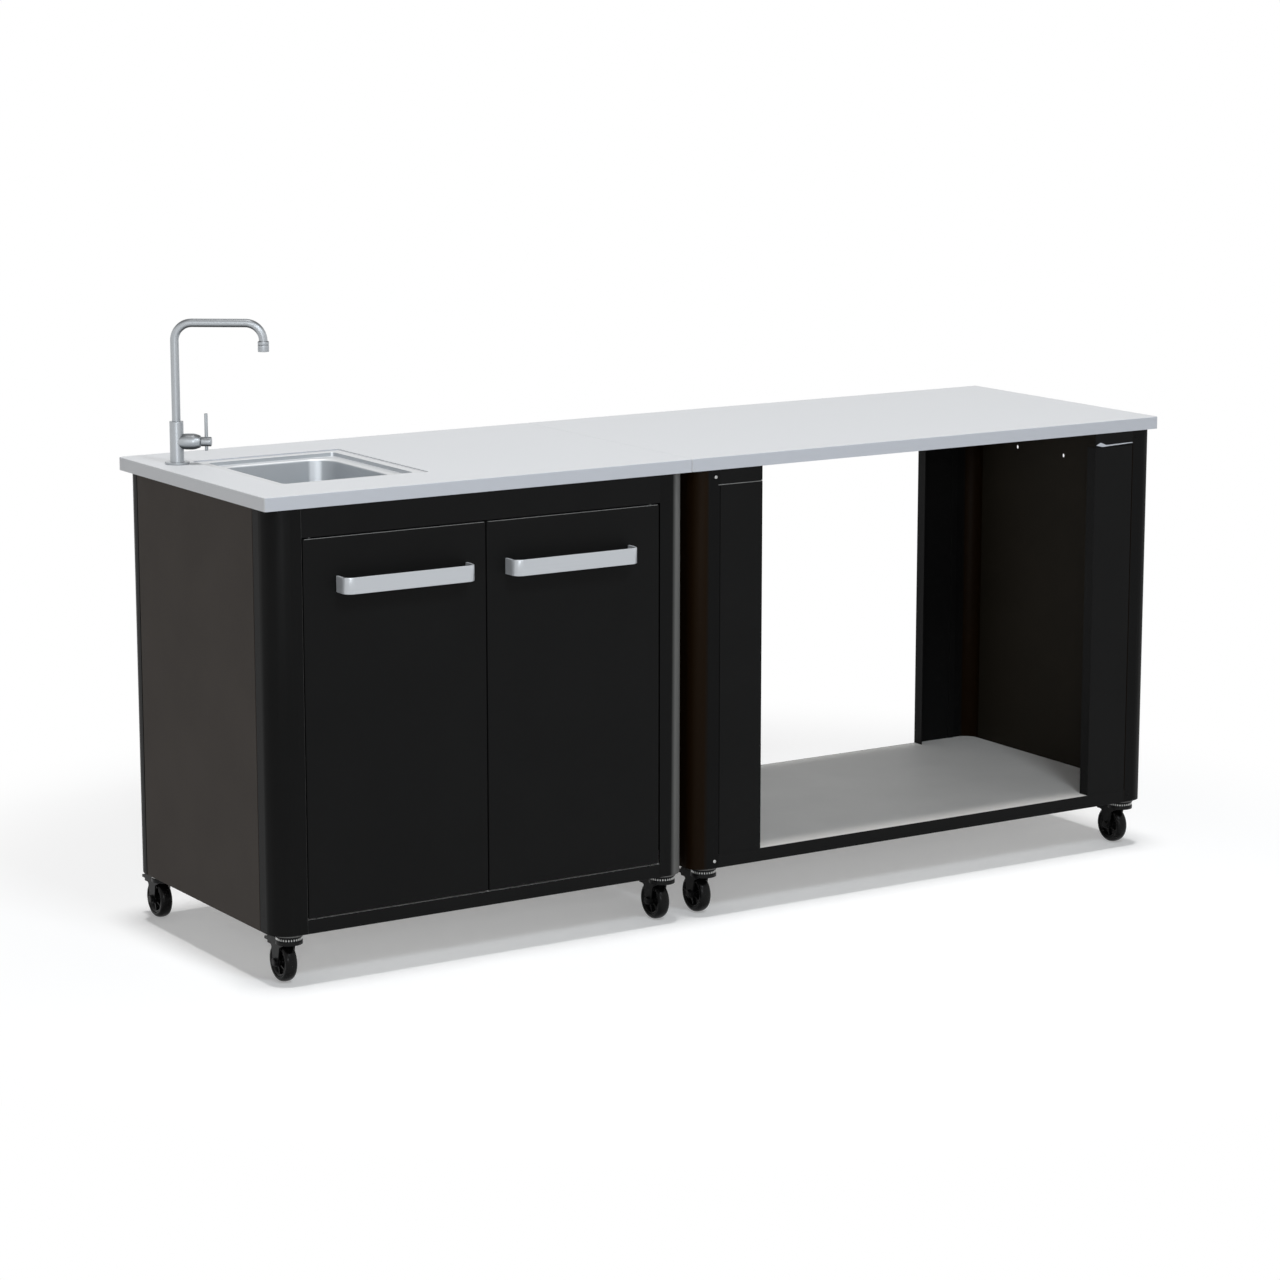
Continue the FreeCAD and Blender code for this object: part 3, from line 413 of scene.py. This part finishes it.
LEDGE = COUNTER - 2
CUTOUT = (91, 124, 401, 481, 5)
WELL = (112, 145, 380, 460, 8)
BOWL = (122, 160, 358, 445, 45)
TUCK = 12
WELL_FLOOR = LEDGE - 8
BOWL_FLOOR = WELL_FLOOR - 150
BASIN_SHEET = 1.2
WELL_ROUND = 0.8
BOWL_RIM_ROUND = 4.5
BOWL_FLOOR_ROUND = 20
BOWL_DRAFT = 3
KEEP_FLAT = 0.6
WASTE_X = (BOWL[0] + BOWL[2]) / 2
WASTE_Y = (BOWL[1] + BOWL[3]) / 2
WASTE_HOLE = 27
FLOOR_RINGS = (64, 44, WASTE_HOLE + KEEP_FLAT, WASTE_HOLE)
WASTE_OUTLINE = [(0, -5), (21, -5), (21, 2), (36, 2), (36, 0), (26.5, 0), (26.5, -60), (0, -60)]
KNOB_OUTLINE = [(0, -3), (3.5, -3), (3.5, 3), (5.5, 3), (5.5, 6), (0, 6)]
WASTE_SOFT = 1.2
STRAINER_RADII = (3, 6, 9.5, 11, 15.5, 17, 20.5)
STRAINER_SIDES = 48
STRAINER_DOWN = 1
STRAINER_SHEET = 1.0
SLOT_PITCH = {1: 8, 3: 4}
CORNER_STEPS = 12
SIDE_STEPS = 8
ROUND_STEPS = 5


def rounded_ring(rectangle, inset, height):
    """A rectangle with round corners, drawn in by an inset, as a ring that runs round to the left."""
    low_x, low_y, high_x, high_y, corner = rectangle
    corner = max(corner - inset, 1)
    low_x, low_y, high_x, high_y = low_x + inset, low_y + inset, high_x - inset, high_y - inset
    centres = [(high_x - corner, high_y - corner), (low_x + corner, high_y - corner),
               (low_x + corner, low_y + corner), (high_x - corner, low_y + corner)]
    arcs = []
    for quarter, (x, y) in enumerate(centres):
        angles = [math.pi / 2 * (quarter + step / CORNER_STEPS) for step in range(CORNER_STEPS + 1)]
        arcs.append([Vector((x + corner * math.cos(a), y + corner * math.sin(a), height)) for a in angles])
    ring = []
    for arc, following in zip(arcs, arcs[1:] + arcs[:1]):
        ring += arc
        ring += [arc[-1].lerp(following[0], step / SIDE_STEPS) for step in range(1, SIDE_STEPS)]
    return ring


def rim_round(rectangle, start, radius, height):
    """Rings over the edge of a hollow: from flat, outside it, to straight down at its wall."""
    rings = []
    for step in range(ROUND_STEPS + 1):
        angle = math.pi / 2 * step / ROUND_STEPS
        inset = start - radius * (1 - math.sin(angle))
        rings.append(rounded_ring(rectangle, inset, height - radius * (1 - math.cos(angle))))
    return rings


def floor_round(rectangle, start, radius, height):
    """Rings from a wall down into the floor of a hollow."""
    rings = []
    for step in range(ROUND_STEPS + 1):
        angle = math.pi / 2 * step / ROUND_STEPS
        inset = start + radius * (1 - math.cos(angle))
        rings.append(rounded_ring(rectangle, inset, height + radius * (1 - math.sin(angle))))
    return rings


def round_waste(ring, radius):
    """The ring's points, each drawn towards the waste onto a circle."""
    middle = Vector((WASTE_X, WASTE_Y, BOWL_FLOOR))
    return [middle + (Vector((p.x, p.y, BOWL_FLOOR)) - middle).normalized() * radius for p in ring]


def make_basin():
    rings = [rounded_ring(CUTOUT, -TUCK, LEDGE), rounded_ring(CUTOUT, KEEP_FLAT - TUCK, LEDGE)]
    rings.append(rounded_ring(WELL, -WELL_ROUND - KEEP_FLAT, LEDGE))
    rings += rim_round(WELL, 0, WELL_ROUND, LEDGE)
    rings += floor_round(WELL, 0, WELL_ROUND, WELL_FLOOR)
    rings.append(rounded_ring(WELL, WELL_ROUND + KEEP_FLAT, WELL_FLOOR))
    rings.append(rounded_ring(BOWL, -BOWL_RIM_ROUND - KEEP_FLAT, WELL_FLOOR))
    rings += rim_round(BOWL, 0, BOWL_RIM_ROUND, WELL_FLOOR)
    rings += floor_round(BOWL, BOWL_DRAFT, BOWL_FLOOR_ROUND, BOWL_FLOOR)
    rings.append(rounded_ring(BOWL, BOWL_DRAFT + BOWL_FLOOR_ROUND + KEEP_FLAT, BOWL_FLOOR))
    for radius in FLOOR_RINGS:
        rings.append(round_waste(rings[-1], radius))
    basin = Shape()
    basin.loft(rings, bench(0, 0, 0))
    basin.piece("basin_shell", BASIN, "basin_steel", "cabinets", "sink_basin", sheet=BASIN_SHEET)


def make_waste():
    """The waste's rim and cup, with a slotted strainer and its knob."""
    place = bench(WASTE_X, WASTE_Y, BOWL_FLOOR)
    body = Shape()
    body.turn(softened(WASTE_OUTLINE, WASTE_SOFT), place)
    body.turn(softened(KNOB_OUTLINE, WASTE_SOFT), place, 24)
    body.piece("waste_body", BASIN, "basin_steel", "cabinets", "sink_drain")
    strainer = Shape()
    points = []
    for radius in STRAINER_RADII:
        points += level_ring([radius] * STRAINER_SIDES, -STRAINER_DOWN)
    faces = []
    for ring in range(len(STRAINER_RADII) - 1):
        inner = ring * STRAINER_SIDES
        outer = inner + STRAINER_SIDES
        for i in range(STRAINER_SIDES):
            if i % SLOT_PITCH.get(ring, 1):
                continue
            j = (i + 1) % STRAINER_SIDES
            faces.append((inner + i, outer + i, outer + j, inner + j))
    strainer.add(points, faces, place)
    strainer.piece("waste_strainer", BASIN, "basin_steel", "cabinets", sheet=STRAINER_SHEET)


# Tap: turned parts round its upright axis, with the valve along its own +X

TAP_X = 54
TAP_Y = 467
TAP_TURN = -35
VALVE_HIGH = 42
VALVE_LONG = 46
VALVE_OUTLINE = [(0, 0), (12, 0), (15.2, 17), (15.2, 33), (11, VALVE_LONG), (0, VALVE_LONG)]
CAP_LONG = 19
CAP_GAP = 0.2
CAP_RADIUS = 9
ARM_RADIUS = 3.2
ARM_DOWN = 17
ARM_UP = 53
BARREL_OUTLINE = [(0, -48), (11, -48), (11, 0), (23, 0), (23, 4), (13, 4), (13, 80), (6.3, 80),
                  (6.3, 59), (0, 59)]
LOCKNUT_OUTLINE = [(11, -9), (19, -9), (19, -2.2), (11, -2.2)]
NOZZLE_FOOT = [(0, 3), (8.6, 3), (9.2, 0), (10.5, 0), (10.5, 12), (9.9, 12.4), (9.9, 13.2), (10.5, 13.6)]
NOZZLE_NECK = [(10.5, -1.5), (8.4, 0), (0, 0)]
SPIGOT_RADIUS = 6
SPIGOT_FOOT = 60.2
SPOUT_FOOT = 80.2
SPOUT_TOP = 264
SPOUT_BEND = 33
SPOUT_REACH = 166
SPOUT_RADIUS = 8
BEND_STEPS = 16
TUBE_SIDES = 40


def tube_ring(x, z, over):
    """A ring of the spout's tube where it has leaned over by an angle from upright."""
    ring = []
    for i in range(TUBE_SIDES):
        angle = 2 * math.pi * i / TUBE_SIDES
        out = SPOUT_RADIUS * math.cos(angle)
        ring.append((x - out * math.cos(over), SPOUT_RADIUS * math.sin(angle), z + out * math.sin(over)))
    return ring


def make_spout(place):
    """The spout's riser, level run and two bends as one swept tube, on its spigot."""
    middle = SPOUT_TOP - SPOUT_BEND
    rings = [tube_ring(0, SPOUT_FOOT, 0)]
    for centre, start in ((SPOUT_BEND, 0), (SPOUT_REACH - SPOUT_BEND, math.pi / 2)):
        for step in range(BEND_STEPS + 1):
            over = start + math.pi / 2 * step / BEND_STEPS
            x = centre - SPOUT_BEND * math.cos(over)
            z = middle + SPOUT_BEND * math.sin(over)
            rings.append(tube_ring(x, z, over))
    tube = Shape()
    tube.loft(rings, place)
    for ring in (rings[0], rings[-1]):
        tube.add(ring, [range(TUBE_SIDES)], place)
    tube.turn(softened(rod(SPIGOT_RADIUS, SPIGOT_FOOT, SPOUT_FOOT - WELD / MM), 0.6), place)
    tube.piece("tap_tube", TAP, "tap_steel", "spout_body", "tap_spout")


def make_tap():
    place = bench(TAP_X, TAP_Y, COUNTER) @ turned(TAP_TURN, "Z")
    make_spout(place)
    body = Shape()
    body.turn(softened(BARREL_OUTLINE, 1.0), place)
    across = place @ Matrix.Translation((0, 0, VALVE_HIGH)) @ ALONG_PLUS_X
    body.turn(softened(VALVE_OUTLINE, 4.0), across)
    body.turn(softened(LOCKNUT_OUTLINE, 1.0), place, 6)
    body.piece("tap_casting", TAP, "tap_steel", "cabinets", "tap_body")
    lever = Shape()
    start = VALVE_LONG + CAP_GAP
    lever.turn(softened(rod(CAP_RADIUS, start, start + CAP_LONG), 1.4), across)
    arm = place @ Matrix.Translation((start + CAP_LONG / 2, 0, VALVE_HIGH))
    lever.turn(softened(rod(ARM_RADIUS, -ARM_DOWN, ARM_UP), 1.6), arm, 28)
    lever.piece("tap_handle", TAP, "tap_steel", "lever_body", "tap_lever")
    low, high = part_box("tap_aerator")
    middle = (low + high) / 2 / MM + ORIGIN
    bottom, top = low.z / MM, high.z / MM
    nozzle = Shape()
    outline = [(radius, bottom + up) for radius, up in NOZZLE_FOOT]
    outline += [(radius, top + up) for radius, up in NOZZLE_NECK]
    nozzle.turn(softened(outline, 0.5), bench(middle.x, middle.y, 0))
    nozzle.piece("tap_nozzle", TAP, "tap_steel", "spout_body", "tap_aerator")


# Casters

WHEEL_RADIUS = 37.5
WHEEL_HALF = 12
FORK_HALF = 16.5
RACE_LOW = 84
RACE_TALL = 9
RACE_TEETH = 30
TEETH_TALL = 4.8
RACE_CORE = 22.9
RACE_STEPS = 6
RACE_MIDDLE = 23.4
RACE_BORE = 20.5
TOOTH_DEEP = 1.1
TOOTH_SLANT = 1.2
SPOKES = 6
SPOKE_FOOT = [(8, -2.2, 4), (8, 2.2, 4), (24.5, 1.6, 4), (24.5, -1.6, 4)]
SPOKE_CREST = [(8, -1.6, 10.5), (8, 1.6, 10.5), (24.5, 1.1, 8.2), (24.5, -1.1, 8.2)]
RIM_OUTLINE = [(4.2, 13.4), (9, 13.4), (9.6, 5.5), (21.5, 4.8), (23.5, 9.2), (25.6, 10.6), (27, 10.6),
               (27.6, 9.4), (28.4, 11.4)]
TYRE_FOOT = 30
CROWN_STEPS = 8
WASHER_RADIUS = 8.6
WASHER_TALL = 1
AXLE_NUT_OUTLINE = [(0, 1), (7.6, 1), (7.6, 4.4), (6.6, 5), (0, 5)]
RIDGE_RADIUS = 0.8
RIDGE_PLACES = (4, 8, 12)
TREAD_UP = 0.5
TREAD_LONG = 19
TREAD_FALL = 4
TREAD_HALF = 11.5


def wheel_outline():
    """Half of the wheel's section from the hub outwards, as (radius, distance from the middle)."""
    crown = []
    for step in range(CROWN_STEPS + 1):
        angle = math.pi / 2 * step / CROWN_STEPS
        radius = TYRE_FOOT + (WHEEL_RADIUS - TYRE_FOOT) * math.sin(angle) ** 0.9
        crown.append(Vector((radius, WHEEL_HALF * math.cos(angle) ** 0.8)))
    return softened(RIM_OUTLINE, 0.8, 3) + crown


def make_wheel(caster):
    """A crowned tyre on a dished rim with spokes."""
    place = Matrix.Translation(joint_at[caster + "_roll"] / MM) @ ALONG_PLUS_X
    half = wheel_outline()
    tyre = Shape()
    tyre.turn(half + [Vector((p.x, -p.y)) for p in reversed(half[:-1])], place, 64, closed=True)
    for side in (-1, 1):
        for spoke in range(SPOKES):
            turn = turned(360 * spoke / SPOKES, "Z")
            points = [(x, y, z * side) for x, y, z in SPOKE_FOOT + SPOKE_CREST]
            sides = [(i, (i + 1) % 4, 4 + (i + 1) % 4, 4 + i) for i in range(4)]
            tyre.add(points, sides + [(4, 5, 6, 7), (3, 2, 1, 0)], place @ turn)
    tyre.piece(caster + "_tyre", TYRE, "wheel_rubber", caster + "_wheel_body", caster + "_wheel")


def make_axle_nuts(caster):
    """A hexagon nut and its washer on each end of the axle."""
    middle = Matrix.Translation(joint_at[caster + "_roll"] / MM)
    nuts = Shape()
    for side in (90, -90):
        place = middle @ turned(side, "Y") @ Matrix.Translation((0, 0, FORK_HALF))
        nuts.turn(softened(rod(WASHER_RADIUS, 0, WASHER_TALL), 0.3), place)
        nuts.turn(softened(AXLE_NUT_OUTLINE, 0.3, 2), place, 6)
    nuts.piece(caster + "_axle_nuts", CASTER_BLACK, "caster_black", caster + "_fork_body")


def make_race(caster):
    """The notched ring round the swivel bearing, and the cover above it."""
    swivel = joint_at[caster + "_swivel"] / MM
    place = Matrix.Translation((swivel.x, swivel.y, 0))
    tooth = [TOOTH_DEEP if step < RACE_STEPS / 2 else -TOOTH_DEEP for step in range(RACE_STEPS)]
    notched = [RACE_MIDDLE + out for out in tooth * RACE_TEETH]
    rings = []
    for height, inset in ((0.4, TOOTH_SLANT), (1.0, 0), (TEETH_TALL - 0.6, 0), (TEETH_TALL, TOOTH_SLANT)):
        rings.append(level_ring([radius - inset for radius in notched], RACE_LOW + height))
    for height in (TEETH_TALL, 0.4):
        rings.append(level_ring([RACE_BORE] * len(notched), RACE_LOW + height))
    teeth = Shape()
    teeth.loft(rings, place, closed=True)
    teeth.piece(caster + "_race_teeth", ZINC, "zinc_steel", "cabinets")
    cover = Shape()
    high = RACE_LOW + RACE_TALL
    foot = RACE_LOW + 0.5
    outline = [(21, high), (24.5, high), (25.2, high - 1), (25.2, high - 2.6), (24, high - 3.2),
               (RACE_CORE, high - 3.2), (RACE_CORE, foot), (21, foot)]
    cover.turn(softened(outline, 0.4, 2), place, 48, closed=True)
    cover.piece(caster + "_race_cover", CASTER_BLACK, "caster_black", "cabinets")


def make_grip(caster):
    """A pale tread plate with ridges across it, on the sloping toe end of the brake pedal."""
    low, high = (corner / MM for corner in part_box(caster + "_pedal"))
    pivot = joint_at[caster + "_brake"] / MM
    slope = math.degrees(math.atan2(TREAD_FALL, TREAD_LONG))
    place = Matrix.Translation((pivot.x, high.y - TREAD_LONG, high.z)) @ turned(-slope, "X")
    grip = Shape()
    grip.slab((-TREAD_HALF, 0.8, -0.4), (TREAD_HALF, TREAD_LONG - 0.6, TREAD_UP), 0.25, place)
    for back in RIDGE_PLACES:
        ridge = place @ Matrix.Translation((-TREAD_HALF + 1, back, TREAD_UP)) @ ALONG_PLUS_X
        grip.turn(softened(rod(RIDGE_RADIUS, 0, TREAD_HALF * 2 - 2), 0.5), ridge, 16)
    grip.piece(caster + "_grip", ZINC, "pedal_plastic", caster + "_pedal_body")


# Fasteners

LINK_HIGH = 785
LINK_PLACES = (290, 446)
LINK_RADIUS = 4
LINK_HEAD_OUTLINE = [(0, 0), (6, 0), (7, 1), (7, 4), (0, 4)]
LINK_NUT_OUTLINE = [(0, -2), (7, -2), (7, -0.6), (6.4, 0), (0, 0)]
SCREW_HEAD = 3.4
SCREW_PROUD = 1.5
SCREW_OUTLINE = [(0, -1.9), (1.8, -1.9), (1.8, 0), (SCREW_HEAD, 0), (3.3, 0.5), (2.8, 1.1), (2.1, 1.45),
                 (1.7, 1.5), (1.5, 1.4), (1.5, 0.3), (0, 0.3)]


def make_link_bolts():
    """Hexagon bolts through the side panels that face each other, with flat nuts."""
    bolts = Shape()
    low, high = (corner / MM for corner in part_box("link_bolts"))
    left, right = low.x + ORIGIN.x, high.x + ORIGIN.x
    for y in LINK_PLACES:
        head = bench(left, y, LINK_HIGH) @ ALONG_PLUS_X
        nut = bench(right, y, LINK_HIGH) @ ALONG_PLUS_X
        bolts.turn(softened(LINK_HEAD_OUTLINE, 0.3, 2), head, 6)
        bolts.turn(softened(rod(LINK_RADIUS, 3, right - left - 1), 0.3, 2), head, 24)
        bolts.turn(softened(LINK_NUT_OUTLINE, 0.3, 2), nut, 6)
    bolts.piece("hexagon_bolts", ZINC, "zinc_steel", "cabinets", "link_bolts")


def make_screws():
    """Button-head screws with a hexagon socket, in the open cabinet's front posts."""
    low, high = (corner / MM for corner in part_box("panel_screws"))
    left, right = low.x + SCREW_HEAD, high.x - SCREW_HEAD
    for name, material, x in (("bare_screws", ZINC, left), ("coated_screws", BLACK, right)):
        screws = Shape()
        for z in (low.z + SCREW_HEAD, high.z - SCREW_HEAD):
            place = Matrix.Translation((x, low.y + SCREW_PROUD, z)) @ turned(90, "X")
            screws.turn(SCREW_OUTLINE, place, 24)
        screws.piece(name, material, "zinc_steel", "cabinets", "panel_screws")


# Painted highlights on the top edges of the doors and of the left filler, and what shows in the joints above
# the fillers

BEAD = 0.8
BEAD_SHORT = 3
FILLER_BEAD_INSET = 0.45
COAT_SHEET = 2
FLANGE_SHEET = 1.2
FLANGE_GAP = 0.2
FLANGE_CLEAR = 0.4
FLANGE_BELOW = 6
FLANGE_ABOVE = 14
LIP_OUTLINE = [(1, 5.5), (17, 1.5), (96, 4.4), (96, 6.0), (27, 4.8), (13, 10.5)]
LIP_PROUD = 0.5


def make_highlight_bead(name, body, inset=BEAD):
    """The folded top edge of a door or a filler, with a pale bead along it as a painted highlight."""
    low, high = (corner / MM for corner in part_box(name))
    place = Matrix.Translation((low.x, low.y + inset, high.z - inset)) @ ALONG_PLUS_X
    edge = Shape()
    edge.turn(softened(rod(BEAD, BEAD_SHORT, high.x - low.x - BEAD_SHORT), 0.4), place, 16)
    edge.piece(name + "_edge", EDGE, "black_coat", body)


def make_filler_lip():
    """A bare lip that shows as a wedge above the right filler."""
    low, high = (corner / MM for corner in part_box("open_front_right_filler"))
    lip = Shape()
    rings = []
    for forward in (LIP_PROUD, -COAT_SHEET / 2):
        rings.append([(low.x + x, low.y - forward, high.z + z) for x, z in LIP_OUTLINE])
    lip.loft(rings)
    for ring in rings:
        lip.add(ring, [range(len(ring))])
    lip.piece("right_filler_lip", WORKTOP, "zinc_steel", "cabinets")


def make_filler_backing(end, side):
    """The turned-in flange behind the joint between a filler and the strip above it."""
    name = f"open_{end}_{side}_filler"
    low, high = (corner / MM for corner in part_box(name))
    behind = COAT_SHEET * 2 + FLANGE_GAP
    near = low.y + behind if end == "front" else high.y - behind - FLANGE_SHEET
    clear = COAT_SHEET + FLANGE_CLEAR
    left = low.x + (1 if side == "left" else clear)
    right = high.x - (clear if side == "left" else 1)
    flange = Shape()
    flange.slab((left, near, high.z - FLANGE_BELOW), (right, near + FLANGE_SHEET, high.z + FLANGE_ABOVE), 0.3)
    flange.piece(f"{end}_{side}_flange", BLACK, "black_coat", "cabinets")


make_basin()
make_waste()
make_tap()
for name in sorted(nodes):
    if name.endswith("_wheel"):
        caster = name.removesuffix("_wheel")
        make_wheel(caster)
        make_axle_nuts(caster)
        make_race(caster)
        make_grip(caster)
make_link_bolts()
make_screws()
make_highlight_bead("left_door", "left_door_body")
make_highlight_bead("right_door", "right_door_body")
make_highlight_bead("open_front_left_filler", "cabinets", FILLER_BEAD_INSET)
for end in ("front", "back"):
    for side in ("left", "right"):
        make_filler_backing(end, side)
make_filler_lip()


# Floor, light and camera

FLOOR_HALF = 60.0
FLOOR_WHITE = 0.78
FLOOR_LIFT = 0.26
FADE_START = 1.2
FADE_END = 1.8
SKY = (0.15, 0.15, 0.15)
SUN_STRENGTH = 2.0
SUN_WIDTH = math.radians(9)
SUN_TILT = (math.radians(0.5), 0)

# Each lamp's name, place, target, size in metres, watts and colour
SOFTBOXES = (
    ("front", Vector((-0.5, -3.7, 4.0)), Vector((0, -0.3, 0.5)), 0.9, 54, (0.93, 1.0, 1.06)),
    ("fill", Vector((-4.7, -7.4, 2.6)), Vector((0, 0, 0.6)), 1.2, 110, (0.96, 1.0, 1.04)),
)

CAMERA_AT = Vector((-3.8989, -6.0479, 1.8907))
CAMERA_DOWN = 0.1921
CAMERA_YAW = 0.5669
SENSOR = 36.0
LENS = 103.577


def seen_directly(tree):
    """1 for rays from the camera, mirrors and glass, and 0 for light that spreads."""
    path = tree.nodes.new("ShaderNodeLightPath")
    total = path.outputs["Is Camera Ray"]
    for other in ("Is Glossy Ray", "Is Transmission Ray"):
        larger = tree.nodes.new("ShaderNodeMath")
        larger.operation = "MAXIMUM"
        tree.links.new(total, larger.inputs[0])
        tree.links.new(path.outputs[other], larger.inputs[1])
        total = larger.outputs["Value"]
    return total


def make_world():
    world = bpy.data.worlds.new("studio")
    bpy.context.scene.world = world
    world.use_nodes = True
    tree = world.node_tree
    light = tree.nodes["Background"]
    light.inputs["Color"].default_value = (*SKY, 1)
    white = tree.nodes.new("ShaderNodeBackground")
    white.inputs["Color"].default_value = (1, 1, 1, 1)
    choice = tree.nodes.new("ShaderNodeMixShader")
    tree.links.new(seen_directly(tree), choice.inputs["Fac"])
    tree.links.new(light.outputs["Background"], choice.inputs[1])
    tree.links.new(white.outputs["Background"], choice.inputs[2])
    tree.links.new(choice.outputs["Shader"], tree.nodes["World Output"].inputs["Surface"])


def make_floor():
    """A pale floor that takes the shadow near the object and fades to white further out."""
    bpy.ops.mesh.primitive_plane_add(size=FLOOR_HALF * 2)
    floor = bpy.context.object
    floor.name = "studio_floor"
    graph = Graph("studio_floor")
    tree = graph.tree
    tree.nodes.remove(graph.shader)
    direct = seen_directly(tree)
    matte = graph.add("ShaderNodeBsdfDiffuse")
    matte.inputs["Color"].default_value = (FLOOR_WHITE, FLOOR_WHITE, FLOOR_WHITE, 1)
    lift = graph.add("ShaderNodeEmission")
    lifted = graph.add("ShaderNodeMath", operation="MULTIPLY")
    lifted.inputs[1].default_value = FLOOR_LIFT
    graph.join(direct, lifted.inputs[0])
    graph.join(lifted.outputs["Value"], lift.inputs["Strength"])
    near = graph.add("ShaderNodeAddShader")
    graph.join(matte.outputs["BSDF"], near.inputs[0])
    graph.join(lift.outputs["Emission"], near.inputs[1])
    white = graph.add("ShaderNodeEmission")
    length = graph.add("ShaderNodeVectorMath", operation="LENGTH")
    graph.join(graph.place, length.inputs[0])
    fade = graph.add("ShaderNodeMapRange", interpolation_type="SMOOTHSTEP")
    fade.inputs["From Min"].default_value = FADE_START
    fade.inputs["From Max"].default_value = FADE_END
    graph.join(length.outputs["Value"], fade.inputs["Value"])
    share = graph.add("ShaderNodeMath", operation="MULTIPLY")
    graph.join(fade.outputs["Result"], share.inputs[0])
    graph.join(direct, share.inputs[1])
    choice = graph.add("ShaderNodeMixShader")
    graph.join(share.outputs["Value"], choice.inputs["Fac"])
    graph.join(near.outputs["Shader"], choice.inputs[1])
    graph.join(white.outputs["Emission"], choice.inputs[2])
    graph.join(choice.outputs["Shader"], tree.nodes["Material Output"].inputs["Surface"])
    floor.data.materials.append(graph.material)


def add_softbox(name, place, target, size, watts, colour):
    """A square studio lamp that faces a point."""
    lamp = bpy.data.lights.new(name, "AREA")
    lamp.size = size
    lamp.energy = watts
    lamp.color = colour
    holder = bpy.data.objects.new(name, lamp)
    holder.location = place
    holder.rotation_euler = (target - place).to_track_quat("-Z", "Y").to_euler()
    bpy.context.scene.collection.objects.link(holder)


def make_light():
    sun = bpy.data.lights.new("key", "SUN")
    sun.energy = SUN_STRENGTH
    sun.angle = SUN_WIDTH
    holder = bpy.data.objects.new("key", sun)
    holder.rotation_euler = (*SUN_TILT, 0)
    bpy.context.scene.collection.objects.link(holder)
    for softbox in SOFTBOXES:
        add_softbox(*softbox)


def make_camera():
    camera = bpy.data.cameras.new("camera")
    camera.sensor_width = SENSOR
    camera.lens = LENS
    holder = bpy.data.objects.new("camera", camera)
    holder.location = CAMERA_AT
    holder.rotation_euler = (math.pi / 2 - CAMERA_DOWN, 0, -CAMERA_YAW)
    bpy.context.scene.collection.objects.link(holder)
    bpy.context.scene.camera = holder


make_world()
make_floor()
make_light()
make_camera()
bpy.context.scene.view_settings.view_transform = "Standard"
